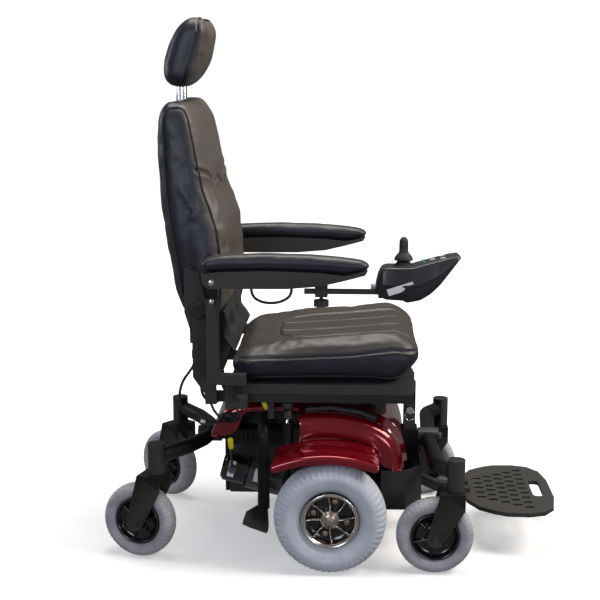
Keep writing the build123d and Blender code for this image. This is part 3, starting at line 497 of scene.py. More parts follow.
def drive_tyre(side, hand):
    """Moulded grey tyre: shoulder blocks, two tread grooves and a ring crease on each wall."""
    blocks = 54

    def tread(i, angle, along, radius):
        reach = abs(along)
        if radius > 0.104 and reach > 0.012:
            phase = (angle * blocks / (2 * math.pi) + (0.5 if along > 0 else 0)) % 1.0
            cut = math.exp(-(((phase - 0.5) * 2 * math.pi * 0.120 / blocks / 0.0015) ** 2))
            radius -= 0.0034 * cut * min(1.0, (radius - 0.104) / 0.008)
        radius -= 0.0016 * math.exp(-(((reach - 0.012) / 0.0014) ** 2)) * (radius > 0.12)
        return radius

    section = oval_ring(0.041, 0.0625, 0.130, 2.5, 72)
    creased = []
    for along, radius in section:
        dent = 0.0016 * math.exp(-(((radius - 0.090) / 0.0016) ** 2))
        creased.append((along - math.copysign(dent, along), radius))
    tyre = lathe(f"drive_tyre_{side}_look", creased, (0, hand * DRIVE_Y, DRIVE_R), (0, hand, 0),
                 MAT["tyre"], 400, wobble=tread)
    put(tyre, f"drive_wheel_{side}", "tyre_grey", f"drive_tyre_{side}")


def spoke(name, centre, axis, start, material):
    """One slim curved spoke, wider at both ends and crowned."""
    axis = Vector(axis)
    across = Vector((1, 0, 0))
    third = axis.cross(across)
    verts, faces, steps = [], [], 14
    shape = [(-1.0, 0.0), (-0.8, 0.7), (-0.3, 1.0), (0.3, 1.0), (0.8, 0.7), (1.0, 0.0)]
    for step in range(steps + 1):
        t = step / steps
        radius = 0.019 + 0.038 * t
        angle = start + 0.10 * t * t
        half = 0.0013 + 0.0012 * (2 * t - 1.0) ** 2
        top, low = 0.0245 - 0.006 * math.sin(t * math.pi / 2), 0.0135
        for side, rise in shape:
            turn = angle + side * half / radius
            spot = across * math.cos(turn) + third * math.sin(turn)
            verts.append(Vector(centre) + spot * radius + axis * (low + (top - low) * (0.35 + 0.65 * rise)))
        for side in (1.0, -1.0):
            turn = angle + side * half / radius
            spot = across * math.cos(turn) + third * math.sin(turn)
            verts.append(Vector(centre) + spot * radius + axis * low)
    row = len(shape) + 2
    for step in range(steps):
        for j in range(row):
            k = (j + 1) % row
            faces.append((step * row + j, step * row + k, (step + 1) * row + k, (step + 1) * row + j))
    faces.append(tuple(range(row)))
    faces.append(tuple(steps * row + j for j in reversed(range(row))))
    return mesh_object(name, verts, faces, material)


def drive_rim(side, hand):
    """Polished flange and eight thin curved spokes over black pockets, bronze hub disc, bolts."""
    centre, axis = Vector((0, hand * DRIVE_Y, DRIVE_R)), Vector((0, hand, 0))
    body = f"drive_wheel_{side}"
    flange = [(0.0215, 0.0545), (0.0290, 0.0565), (0.0325, 0.0595), (0.0340, 0.0625), (0.0338, 0.0645),
              (0.0325, 0.0657), (0.0305, 0.0657), (0.0270, 0.0625), (0.0200, 0.0605), (-0.0200, 0.0605),
              (-0.0270, 0.0625), (-0.0310, 0.0657), (-0.0335, 0.0650), (-0.0340, 0.0625),
              (-0.0300, 0.0585), (-0.0200, 0.0570), (0.0120, 0.0555)]
    ring = lathe(f"rim_flange_{side}", flange, centre, axis, MAT["alloy"], 160)
    put(ring, body, "alloy", f"drive_rim_{side}")
    dish = [(0.0120, 0.0570), (0.0090, 0.0550), (0.0070, 0.0400), (0.0090, 0.0200), (0.0090, 0.0),
            (-0.0120, 0.0), (-0.0120, 0.0550), (-0.0060, 0.0572)]
    pocket = lathe(f"rim_pocket_{side}", dish, centre, axis, MAT["pocket"], 96, closed=False)
    put(pocket, body, "alloy")
    arms = [spoke(f"spoke_{side}_{i}", centre, axis, 2 * math.pi * i / 8, MAT["alloy"]) for i in range(8)]
    put(joined(f"rim_spokes_{side}", arms), body, "alloy")
    hub = [(0.0080, 0.0), (0.0080, 0.0215), (0.0215, 0.0225), (0.0240, 0.0205), (0.0245, 0.0150),
           (0.0270, 0.0130), (0.0275, 0.0)]
    put(lathe(f"rim_hub_{side}", hub, centre, axis, MAT["hub_disc"], 64, closed=False), body, "alloy")
    cap = [(0.0270, 0.0), (0.0270, 0.0085), (0.0300, 0.0085), (0.0300, 0.0), (0.0300, 0.0)]
    put(lathe(f"axle_washer_{side}", cap[:4], centre, axis, MAT["zinc"], 40, closed=False), body, "alloy")
    bolt(f"axle_nut_{side}", centre + axis * 0.0295, axis, 0.0070, 0.0075, MAT["zinc"], body, "alloy")
    for i in range(4):
        turn = 2 * math.pi * i / 4 + 0.5
        spot = Vector((math.cos(turn), 0, math.sin(turn)))
        bolt(f"hub_bolt_{side}_{i}", centre + axis * 0.0235 + spot * 0.0172, axis, 0.0030, 0.0040,
             MAT["zinc"], body, "alloy")
        turn += math.pi / 4
        spot = Vector((math.cos(turn), 0, math.sin(turn)))
        bolt(f"web_bolt_{side}_{i}", centre + axis * 0.0072 + spot * 0.0400, axis, 0.0046, 0.0050,
             MAT["hub_disc"], body, "alloy")
    shaft = [(-0.0780, 0.0), (-0.0780, 0.0118), (0.0080, 0.0118), (0.0080, 0.0)]
    put(lathe(f"axle_shaft_{side}", shaft, centre, axis, MAT["zinc"], 40, closed=False), body, "alloy")
    bush = [(-0.0400, 0.0122), (-0.0400, 0.0240), (-0.0120, 0.0300), (-0.0120, 0.0122)]
    put(lathe(f"hub_bush_{side}", bush, centre, axis, MAT["paint"], 64), body, "alloy")


def caster_wheel(name, stem, hand):
    """Grey tyre with ridged shoulders on a deep black hub."""
    yaw = math.radians(YAWS[name])
    forward = Vector((math.cos(yaw), -math.sin(yaw), 0))
    axis = Vector((math.sin(yaw), math.cos(yaw), 0))
    if name == "rear_left":
        forward = Vector((math.cos(yaw), -math.sin(yaw), 0))
    low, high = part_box(f"{name}_wheel")
    centre = (low + high) / 2
    body = f"{name}_caster"
    blocks = 44

    def ridged(i, angle, along, radius):
        if radius > 0.070:
            phase = (angle * blocks / (2 * math.pi) + (0.5 if along > 0 else 0)) % 1.0
            cut = math.exp(-(((phase - 0.5) * 2 * math.pi * 0.082 / blocks / 0.0013) ** 2))
            radius -= 0.0016 * cut * min(1.0, (radius - 0.070) / 0.005) * min(1.0, abs(along) / 0.01)
        return radius

    section = oval_ring(0.0248, 0.0535, CASTER_R, 2.5, 56)
    creased = []
    for along, radius in section:
        dent = 0.0011 * math.exp(-(((radius - 0.068) / 0.0012) ** 2))
        creased.append((along - math.copysign(dent, along), radius))
    tyre = lathe(f"{name}_tyre_look", creased, centre, axis, MAT["caster_tyre"], 264, wobble=ridged)
    put(tyre, body, "caster_wheel", f"{name}_wheel")
    hub = []
    face = [(0.0200, 0.0555), (0.0205, 0.0525), (0.0175, 0.0500), (0.0110, 0.0470), (0.0080, 0.0400),
            (0.0085, 0.0250), (0.0110, 0.0200), (0.0200, 0.0180), (0.0230, 0.0165), (0.0235, 0.0080)]
    hub = face + [(-along, radius) for along, radius in reversed(face)]
    put(lathe(f"{name}_hub_look", hub, centre, axis, MAT["pocket"], 96), body, "caster_wheel")
    ribs = []
    for side in (-1, 1):
        for i in range(6):
            turn = 2 * math.pi * i / 6 + 0.3
            spot = forward * math.cos(turn) + Vector((0, 0, 1)) * math.sin(turn)
            tangent = axis.cross(spot)
            verts = []
            for radius, rise in ((0.0180, 0.0190), (0.0490, 0.0165)):
                for width in (-0.0016, 0.0016):
                    for along in (0.0070, rise):
                        verts.append(centre + spot * radius + tangent * width + axis * side * along)
            faces = [(0, 1, 3, 2), (4, 6, 7, 5), (1, 5, 7, 3), (0, 2, 6, 4), (0, 4, 5, 1), (2, 3, 7, 6)]
            ribs.append(mesh_object(f"{name}_rib_{side}_{i}", verts, faces, MAT["pocket"], False))
    ribbed = joined(f"{name}_hub_ribs", ribs)
    add_bevel(ribbed, 0.0006, 2)
    put(ribbed, body, "caster_wheel")


# ---------------------------------------------------------------- upholstery
def grid_box(divisions):
    """Points and quads of a cube from -1 to 1 whose faces are grids; divisions is for each axis."""
    shape = bmesh.new()
    lookup = {}

    def corner(point):
        key = tuple(round(value, 5) for value in point)
        if key not in lookup:
            lookup[key] = shape.verts.new(point)
        return lookup[key]

    for axis in range(3):
        u, v = (axis + 1) % 3, (axis + 2) % 3
        for sign in (-1, 1):
            for i in range(divisions[u]):
                for j in range(divisions[v]):
                    quad = []
                    for a, b in ((0, 0), (1, 0), (1, 1), (0, 1)):
                        point = [0, 0, 0]
                        point[axis] = sign
                        point[u] = -1 + 2 * (i + a) / divisions[u]
                        point[v] = -1 + 2 * (j + b) / divisions[v]
                        quad.append(corner(point))
                    shape.faces.new(quad if sign > 0 else quad[::-1])
    return shape


def soft_block(name, half, rounding, material, form, step=0.008):
    """A rounded block of half sizes (x, y, z) with its edges rounded, bent by form(points) into place."""
    half, rounding = np.array(half), np.array(rounding)
    divisions = [max(6, int(2 * size / step)) for size in half]
    shape = grid_box(divisions)
    mesh = bpy.data.meshes.new(name)
    shape.to_mesh(mesh)
    shape.free()
    points = np.array([v.co for v in mesh.vertices]) * half
    inner = np.clip(points, -(half - rounding), half - rounding)
    offset = (points - inner) / rounding
    length = np.linalg.norm(offset, axis=1, keepdims=True)
    points = inner + rounding * offset / np.maximum(length, 1e-9)
    points = form(points)
    mesh.vertices.foreach_set("co", points.ravel())
    made = bpy.data.objects.new(name, mesh)
    bpy.context.scene.collection.objects.link(made)
    mesh.materials.append(material)
    for face in mesh.polygons:
        face.use_smooth = True
    mesh.update()
    return made


def arrays(made):
    """A mesh's points and normals as numpy arrays."""
    count = len(made.data.vertices)
    points, normals = np.empty(count * 3), np.empty(count * 3)
    made.data.vertices.foreach_get("co", points)
    made.data.vertex_normals.foreach_get("vector", normals)
    return points.reshape(-1, 3), normals.reshape(-1, 3)


def apply_modifiers(made):
    """Bakes an object's modifiers into its mesh."""
    bpy.context.view_layer.update()
    mesh = bpy.data.meshes.new_from_object(made.evaluated_get(bpy.context.evaluated_depsgraph_get()))
    made.modifiers.clear()
    made.data = mesh
    for face in mesh.polygons:
        face.use_smooth = True


def inflate(made, voxel, cap, pressure=4.0, frames=20):
    """Voxel remesh, then cloth under pressure; no point moves further than cap; then one subdivision."""
    material = made.data.materials[0]
    remesh = made.modifiers.new("remesh", "REMESH")
    remesh.mode, remesh.voxel_size = "VOXEL", voxel
    apply_modifiers(made)
    start, _ = arrays(made)
    scene = bpy.context.scene
    cloth = made.modifiers.new("cloth", "CLOTH")
    cloth.settings.use_pressure = True
    cloth.settings.uniform_pressure_force = pressure
    cloth.settings.effector_weights.gravity = 0.0
    cloth.settings.quality = 5
    cloth.point_cache.frame_start, cloth.point_cache.frame_end = 1, frames
    for frame_number in range(1, frames + 1):
        scene.frame_set(frame_number)
    held = made.evaluated_get(bpy.context.evaluated_depsgraph_get())
    moved = np.empty(len(made.data.vertices) * 3)
    held.data.vertices.foreach_get("co", moved)
    moved = moved.reshape(-1, 3)
    made.modifiers.clear()
    scene.frame_set(1)
    shift = moved - start
    length = np.linalg.norm(shift, axis=1, keepdims=True)
    shift *= np.minimum(1.0, cap / np.maximum(length, 1e-9))
    made.data.vertices.foreach_set("co", (start + shift).ravel())
    made.data.update()
    smooth = made.modifiers.new("smooth", "SMOOTH")
    smooth.factor, smooth.iterations = 0.5, 4
    finer = made.modifiers.new("finer", "SUBSURF")
    finer.levels = finer.render_levels = 1
    apply_modifiers(made)
    made.data.materials.clear()
    made.data.materials.append(material)


def crease(made, distance, facing, depth, width, puff=0.0):
    """Presses a seam into a mesh. distance(points) is how far each point is from the seam, facing picks
    which points by their normals, depth and width are the groove's, and puff lifts the cloth beside it."""
    points, normals = arrays(made)
    gap = distance(points) / width
    groove = -depth * np.exp(-gap ** 2) + puff * np.exp(-((gap - 2.6) / 1.5) ** 2)
    points += normals * (groove * facing(points, normals))[:, None]
    made.data.vertices.foreach_set("co", points.ravel())
    made.data.update()


def to_path(points, path, axes):
    """Distance from each point to a line of straight runs, measured in two axes."""
    flat = points[:, axes]
    best = np.full(len(flat), 1e9)
    for start, end in zip(path[:-1], path[1:]):
        start, end = np.array(start), np.array(end)
        run = end - start
        t = np.clip(((flat - start) @ run) / (run @ run), 0, 1)
        best = np.minimum(best, np.linalg.norm(flat - (start + t[:, None] * run), axis=1))
    return best


def ramp(value, low, high):
    """0 below low, 1 above high, smooth between."""
    t = np.clip((value - low) / (high - low), 0, 1)
    return t * t * (3 - 2 * t)


def ripple(made, size, height, seed, where=None):
    """Faint unevenness of stretched cloth over foam, from Blender's fixed noise."""
    points, normals = arrays(made)
    lift = np.array([noise.noise(Vector(p) / size + Vector((seed, 0, 0))) for p in points]) * height
    if where is not None:
        lift *= where(points, normals)
    points += normals * lift[:, None]
    made.data.vertices.foreach_set("co", points.ravel())
    made.data.update()


def piping(name, made, points, radius, body, slot_name, closed=False, sink=0.3):
    """A cord of piping laid on a finished cushion along a line of points near its surface."""
    laid = []
    for point in points:
        hit, place, normal, _ = made.closest_point_on_mesh(Vector(point))
        laid.append(place + normal * radius * (1 - 2 * sink))
    return put(tube(name, laid, radius, MAT["piping"], closed, 8), body, slot_name)


SEAT_LOW, SEAT_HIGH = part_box("seat_cushion")


def seat_top(x):
    """Height of the seat's top along its middle."""
    return np.interp(x, [-0.238, -0.204, -0.06, 0.049, 0.16, 0.206, 0.21],
                     [0.508, 0.512, 0.522, 0.530, 0.540, 0.542, 0.542])


def seat_cushion():
    """Deep seat pad: crowned insert, raised side bolsters, bull-nosed front and welted edges."""
    half = (0.220, 0.224, 0.052)

    def form(points):
        x, y, z = points[:, 0] - 0.014, points[:, 1].copy(), points[:, 2]
        up = (z + half[2]) / (2 * half[2])
        top, low = seat_top(x) - 0.006, 0.4325
        out = np.stack([x, y, low + up * (top - low)], axis=1)
        bolster = ramp(np.abs(y), 0.125, 0.180) * (1 - ramp(np.abs(y), 0.205, 0.225))
        out[:, 2] += bolster * 0.010 * ramp(up, 0.6, 1.0) * ramp(x, -0.2, -0.05) * (1 - ramp(x, 0.13, 0.2))
        tuck = (1 - ramp(up, 0.0, 0.62))
        out[:, 0] -= tuck * 0.040 * ramp(x, 0.05, 0.206)
        out[:, 0] += tuck * 0.006 * (1 - ramp(x, -0.234, -0.1))
        out[:, 1] *= 1 - 0.05 * tuck
        return out

    pad = soft_block("seat_cushion_look", half, (0.050, 0.044, 0.040), MAT["seat_vinyl"], form)
    inflate(pad, 0.0055, 0.006)
    top = lambda p, n: ramp(n[:, 2], 0.25, 0.6)
    insert = [(0.235, -0.128), (-0.055, -0.124), (-0.095, -0.112), (-0.122, -0.080), (-0.130, -0.04),
              (-0.130, 0.04), (-0.122, 0.080), (-0.095, 0.112), (-0.055, 0.124), (0.235, 0.128)]
    crease(pad, lambda p: to_path(p, insert, [0, 1]),
           lambda p, n: ramp(n[:, 2] + 0.8 * ramp(p[:, 0], 0.12, 0.2), 0.25, 0.6), 0.0045, 0.0045, 0.0014)
    for y in (-0.042, 0.042):
        line = [(-0.130, y), (0.235, y * 1.05)]
        crease(pad, lambda p: to_path(p, line, [0, 1]),
               lambda p, n: ramp(n[:, 2] + 0.8 * ramp(p[:, 0], 0.12, 0.2), 0.25, 0.6), 0.0028, 0.0038, 0.0009)
    side_line = [(-0.26, 0.487), (-0.10, 0.492), (0.05, 0.500), (0.14, 0.512), (0.215, 0.506)]
    crease(pad, lambda p: to_path(p, side_line, [0, 2]),
           lambda p, n: ramp(np.abs(n[:, 1]), 0.3, 0.7), 0.0024, 0.0028, 0.0008)
    ripple(pad, 0.05, 0.0016, 3.0)
    ripple(pad, 0.018, 0.0005, 9.0)
    put(pad, "base", "vinyl_black", "seat_cushion")
    for hand in (-1, 1):
        edge = [(x, hand * 0.232, np.interp(x, [-0.22, 0.05, 0.14, 0.2], [0.487, 0.500, 0.512, 0.506]))
                for x in np.linspace(-0.19, 0.185, 22)]
        piping(f"seat_piping_{'right' if hand < 0 else 'left'}", pad, edge, 0.0022, "base", "vinyl_black")
    low_edge = []
    for step in range(48):
        turn = 2 * math.pi * step / 48
        c, s = math.cos(turn), math.sin(turn)
        low_edge.append((-0.020 + 0.205 * math.copysign(abs(c) ** 0.35, c),
                         0.214 * math.copysign(abs(s) ** 0.35, s), 0.4400))
    piping("seat_piping_low", pad, low_edge, 0.0022, "base", "vinyl_black", True)


BACK_REAR = ([0.552, 0.600, 0.640, 0.740, 0.836, 0.950, 1.045, 1.079],
             [-0.325, -0.344, -0.357, -0.375, -0.389, -0.394, -0.393, -0.392])
BACK_FRONT = ([0.552, 0.600, 0.650, 0.720, 0.782, 0.831, 0.880, 0.939, 1.040, 1.079],
              [-0.262, -0.240, -0.232, -0.233, -0.241, -0.255, -0.272, -0.285, -0.305, -0.312])


def back_width(z):
    """Half width of the back at a height."""
    return np.interp(z, [0.552, 0.62, 0.76, 1.00, 1.079], [0.208, 0.217, 0.219, 0.203, 0.196])


def back_cushion():
    """High bucket back: lumbar swell, side bolsters below the shoulders, seams and piping."""
    half = (0.060, 0.214, 0.261)

    def form(points):
        u, v = points[:, 0] / half[0], points[:, 1] / half[1]
        z = 0.5555 + (points[:, 2] + half[2]) / (2 * half[2]) * 0.519
        rear = np.interp(z, *BACK_REAR) + 0.003
        front = np.interp(z, *BACK_FRONT) - 0.005
        reach = ramp(z, 0.60, 0.70) * (1 - ramp(z, 0.84, 0.93))
        bolster = ramp(np.abs(v), 0.58, 0.80)
        front = front - 0.018 * (1 - bolster) * reach - 0.006 * (1 - ramp(np.abs(v), 0.9, 1.0)) * (1 - reach) * 0
        x = rear + (u + 1) / 2 * (front - rear)
        return np.stack([x, v * back_width(z), z], axis=1)

    pad = soft_block("back_cushion_look", half, (0.040, 0.042, 0.050), MAT["back_vinyl"], form)
    inflate(pad, 0.0055, 0.006)
    front = lambda p, n: ramp(n[:, 0], 0.25, 0.6)
    for hand in (-1, 1):
        seam = [(hand * 0.108, 0.54), (hand * 0.102, 0.70), (hand * 0.100, 0.845), (hand * 0.106, 0.868),
                (hand * 0.128, 0.888), (hand * 0.165, 0.908), (hand * 0.196, 0.918)]
        crease(pad, lambda p: to_path(p, seam, [1, 2]), front, 0.0042, 0.0042, 0.0016)
    arch = [(-0.101, 0.858), (-0.080, 0.872), (-0.045, 0.881), (0.0, 0.884), (0.045, 0.881), (0.080, 0.872),
            (0.101, 0.858)]
    crease(pad, lambda p: to_path(p, arch, [1, 2]), front, 0.0040, 0.0042, 0.0014)
    ripple(pad, 0.06, 0.0018, 5.0)
    ripple(pad, 0.02, 0.0005, 11.0)
    put(pad, "back", "vinyl_black", "back_cushion")
    heights = np.linspace(0.575, 1.045, 30)
    for hand in (-1, 1):
        front_edge = [(np.interp(z, *BACK_FRONT) - 0.012, z) for z in heights]
        rear_edge = [(np.interp(z, *BACK_REAR) + 0.010, z) for z in heights[::-1]]
        over = [(-0.325, 1.064), (-0.345, 1.070), (-0.365, 1.064)]
        spots = [(x, hand * (back_width(z) - 0.006), z) for x, z in front_edge + over + rear_edge]
        piping(f"back_piping_{'right' if hand < 0 else 'left'}", pad, spots, 0.0023, "back", "vinyl_black")


HEAD_REAR = ([1.098, 1.112, 1.160, 1.206, 1.243, 1.260], [-0.392, -0.395, -0.392, -0.376, -0.356, -0.346])
HEAD_FRONT = ([1.098, 1.106, 1.138, 1.180, 1.222, 1.260], [-0.332, -0.326, -0.307, -0.291, -0.284, -0.282])


def headrest():
    """Headrest pad: rounded block leaning forward, welted round its front face."""
    half = (0.0365, 0.115, 0.078)

    def form(points):
        u = points[:, 0] / half[0]
        z = 1.1015 + (points[:, 2] + half[2]) / (2 * half[2]) * 0.155
        rear, front = np.interp(z, *HEAD_REAR) + 0.002, np.interp(z, *HEAD_FRONT) - 0.003
        return np.stack([rear + (u + 1) / 2 * (front - rear), points[:, 1], z], axis=1)

    pad = soft_block("headrest_look", half, (0.030, 0.034, 0.034), MAT["back_vinyl"], form, 0.005)
    inflate(pad, 0.004, 0.004)
    seam = [(1.098, -0.352), (1.14, -0.331), (1.18, -0.315), (1.222, -0.307), (1.262, -0.306)]
    crease(pad, lambda p: to_path(p, seam, [2, 0]),
           lambda p, n: ramp(np.maximum(np.abs(n[:, 1]), np.abs(n[:, 2])), 0.3, 0.7), 0.0026, 0.0026, 0.0008)
    ripple(pad, 0.04, 0.0012, 7.0)
    put(pad, "headrest", "vinyl_black", "headrest_pad")
    spots = []
    for step in range(60):
        turn = 2 * math.pi * step / 60
        c, s = math.cos(turn), math.sin(turn)
        y, z = 0.118 * math.copysign(abs(c) ** 0.45, c), 1.180 + 0.082 * math.copysign(abs(s) ** 0.45, s)
        spots.append((np.interp(z, [1.098, 1.14, 1.18, 1.222, 1.262], [-0.350, -0.329, -0.313, -0.305, -0.304]),
                      y, z))
    piping("headrest_piping", pad, spots, 0.0022, "headrest", "vinyl_black", True)


def armrest(side, hand):
    """Moulded foam pad on each armrest shell."""
    half = (0.186, 0.0262, 0.0175)

    def form(points):
        x = points[:, 0] - 0.102
        up = (points[:, 2] + half[2]) / (2 * half[2])
        top = np.interp(x, [-0.290, -0.278, -0.246, -0.147, -0.05, 0.023, 0.067, 0.086],
                        [0.726, 0.731, 0.7365, 0.7395, 0.7375, 0.7325, 0.727, 0.722])
        low = np.interp(x, [-0.290, -0.246, -0.147, -0.025, 0.03, 0.080], [0.700, 0.7045, 0.7075, 0.7035, 0.6985,
                                                                       0.7070])
        y = points[:, 1] * (1 - 0.10 * ramp(x, 0.0, 0.084))
        return np.stack([x, hand * ARM_Y + y, low + up * (top - low)], axis=1)

    pad = soft_block(f"armrest_pad_{side}_look", half, (0.022, 0.015, 0.0145), MAT["arm_vinyl"], form, 0.005)
    inflate(pad, 0.0035, 0.002)
    seam = [(-0.3, 0.712), (-0.147, 0.7185), (-0.02, 0.7155), (0.06, 0.7105), (0.09, 0.712)]
    crease(pad, lambda p: to_path(p, seam, [0, 2]),
           lambda p, n: ramp(np.abs(n[:, 1]), 0.3, 0.7), 0.0006, 0.0016, 0.0001)
    ripple(pad, 0.03, 0.0006, 2.0)
    put(pad, f"arm_{side}", "arm_pad_black", f"armrest_pad_{side}")


def seat_flap():
    """Padded vinyl flap that closes the gap between the back pad and the seat pad."""
    path = [(-0.222, 0.503), (-0.231, 0.520), (-0.243, 0.538), (-0.246, 0.556), (-0.243, 0.576), (-0.247, 0.600)]
    half_width, columns, thick = 0.205, 60, 0.007
    verts, faces = [], []
    rows = []
    for step in range(25):
        t = step / 24 * (len(path) - 1)
        i = min(int(t), len(path) - 2)
        f = t - i
        f = f * f * (3 - 2 * f) * 0.35 + f * 0.65
        rows.append((path[i][0] + (path[i + 1][0] - path[i][0]) * f, path[i][1] + (path[i + 1][1] - path[i][1]) * f))
    for index, (x, z) in enumerate(rows):
        for column in range(columns + 1):
            y = -half_width + 2 * half_width * column / columns
            fold = 0.003 * math.sin(y * 46 + index * 0.22) * math.sin(math.pi * index / 24)
            verts.append((x + fold, y, z))
    for index in range(24):
        for column in range(columns):
            a = index * (columns + 1) + column
            faces.append((a, a + 1, a + columns + 2, a + columns + 1))
    flap = mesh_object("seat_flap", verts, faces, MAT["piping"])
    solid = flap.modifiers.new("thickness", "SOLIDIFY")
    solid.thickness, solid.offset = thick, 0.0
    round_off = flap.modifiers.new("smoother", "SUBSURF")
    round_off.levels = round_off.render_levels = 1
    apply_modifiers(flap)
    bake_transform(flap)


# ---------------------------------------------------------------- cords
CONTROL_CABLE = [(-178, -263, 665.3), (-178, -263, 652), (-168, -264, 638), (-146, -265, 630),
                 (-118, -265, 631), (-96, -264, 641), (-88, -263, 654), (-88, -263, 666)]
OUTER_LOOM = [(-312, -223, 494), (-312, -223, 480), (-324, -222, 461), (-341, -220, 438),
              (-350, -218, 408), (-349, -216, 379), (-336, -213, 356), (-312, -207, 341),
              (-287, -198, 332), (-266, -188, 329), (-254, -175, 331), (-254, -160, 331)]
HANGING_LOOP = [(-300, -165, 450), (-300, -165, 431), (-307, -166, 407), (-300, -166, 382),
                (-277, -167, 369), (-254, -166, 382), (-247, -165, 407), (-254, -165, 431),
                (-254, -165, 450)]
MIDDLE_LOOM = [(-281, -180, 450), (-281, -180, 427), (-285, -181, 402), (-283, -182, 377),
               (-273, -187, 355), (-257, -189, 339), (-242, -179, 331), (-242, -160, 331)]
INNER_LOOM = [(-257, -180, 450), (-257, -180, 429), (-251, -181, 409), (-238, -182, 391),
              (-223, -185, 372), (-216, -188, 351), (-221, -186, 336), (-230, -176, 331),
              (-230, -160, 331)]


def cable(name, route, length, body, *nodes):
    """A free cable held at both ends: one smooth NURBS line through its route."""
    data = bpy.data.curves.new(name, "CURVE")
    data.dimensions = "3D"
    data.bevel_depth, data.bevel_resolution, data.use_fill_caps = CABLE_D / 2, 5, True
    spline = data.splines.new("NURBS")
    spline.points.add(len(route) - 1)
    for spot, (x, y, z) in zip(spline.points, route):
        spot.co = (x * MM, y * MM, z * MM, 1.0)
    spline.order_u = 3
    spline.use_endpoint_u = True
    spline.resolution_u = 12
    data.materials.append(MAT["cable"])
    made = bpy.data.objects.new(name, data)
    bpy.context.scene.collection.objects.link(made)
    put(made, body, "cable_black", *nodes)


def cables():
    """The control cable below the right armrest and the four looms behind the seat."""
    cable("control_cable_look", CONTROL_CABLE, 0.131, "arm_right", "control_cable")
    cable("outer_loom", OUTER_LOOM, 0.262, "base", "seat_looms")
    cable("hanging_loop", HANGING_LOOP, 0.180, "base", "seat_looms")
    cable("middle_loom", MIDDLE_LOOM, 0.150, "base", "seat_looms")
    cable("inner_loom", INNER_LOOM, 0.160, "base", "seat_looms")


# ---------------------------------------------------------------- red bodywork
def smooth_line(points, count, passes=6):
    """A rounded line through (x, z) points, resampled evenly by index; its ends stay."""
    points = np.array(points) * MM
    steps = np.linspace(0, len(points) - 1, count)
    line = np.stack([np.interp(steps, range(len(points)), points[:, k]) for k in (0, 1)], axis=1)
    for _ in range(passes):
        line[1:-1] = (line[:-2] + 2 * line[1:-1] + line[2:]) / 4
    return line


def outward(line):
    """Unit normals of an (x, z) line, on its upper side."""
    run = np.gradient(line, axis=0)
    run /= np.linalg.norm(run, axis=1, keepdims=True)
    normal = np.stack([-run[:, 1], run[:, 0]], axis=1)
    return normal * np.where(normal[:, 1:].sum() < 0, -1, 1)


def grid_mesh(name, rows, material, thickness):
    """A sheet of quads from rows of points, thickened inwards."""
    wide = len(rows[0])
    verts = [spot for row in rows for spot in row]
    faces = []
    for i in range(len(rows) - 1):
        for j in range(wide - 1):
            a = i * wide + j
            faces.append((a, a + 1, a + wide + 1, a + wide))
    made = mesh_object(name, verts, faces, material)
    shape = bmesh.new()
    shape.from_mesh(made.data)
    bmesh.ops.remove_doubles(shape, verts=shape.verts, dist=2e-5)
    bmesh.ops.recalc_face_normals(shape, faces=shape.faces)
    up = sum((f.normal.z * f.calc_area() for f in shape.faces), 0.0)
    if up < 0:
        bmesh.ops.reverse_faces(shape, faces=shape.faces)
    shape.to_mesh(made.data)
    shape.free()
    solid = made.modifiers.new("thickness", "SOLIDIFY")
    solid.thickness, solid.offset, solid.use_even_offset = thickness, -1.0, False
    edge = add_bevel(made, 0.0006, 2, 50)
    edge.name = "edge"
    return made


def shell(name, top, low, half, rounding, raised, wall, cap):
    """A moulded cover: follows the top line, rolls over at its half width and drops to the low line.

    raised(y) lifts the middle, wall(t) moves the side wall outwards, cap closes the first station.
    """
    stations, normals = len(top), outward(top)
    rows = []
    for i in range(-1 if cap else 0, stations):
        k = max(i, 0)
        spot, normal = top[k], normals[k]
        side = []
        for y in np.linspace(0, half - rounding, 14):
            place = spot + normal * raised(y)
            side.append((place[0], y, place[1]))
        for step in range(1, 8):
            turn = math.pi / 2 * step / 7
            place = spot - normal * rounding * (1 - math.cos(turn))
            side.append((place[0], half - rounding + rounding * math.sin(turn), place[1]))
        start = spot - normal * rounding
        for step in range(1, 19):
            t = step / 18
            place = start + (low[k] - start) * t
            side.append((place[0], half + wall(t, place[0]), place[1]))
        if i < 0:
            side = [(x - 0.004, min(y, cap), z) for x, y, z in side]
        rows.append([(x, -y, z) for x, y, z in reversed(side)] + side[1:])
    return grid_mesh(name, rows, MAT["red"], 0.0025)


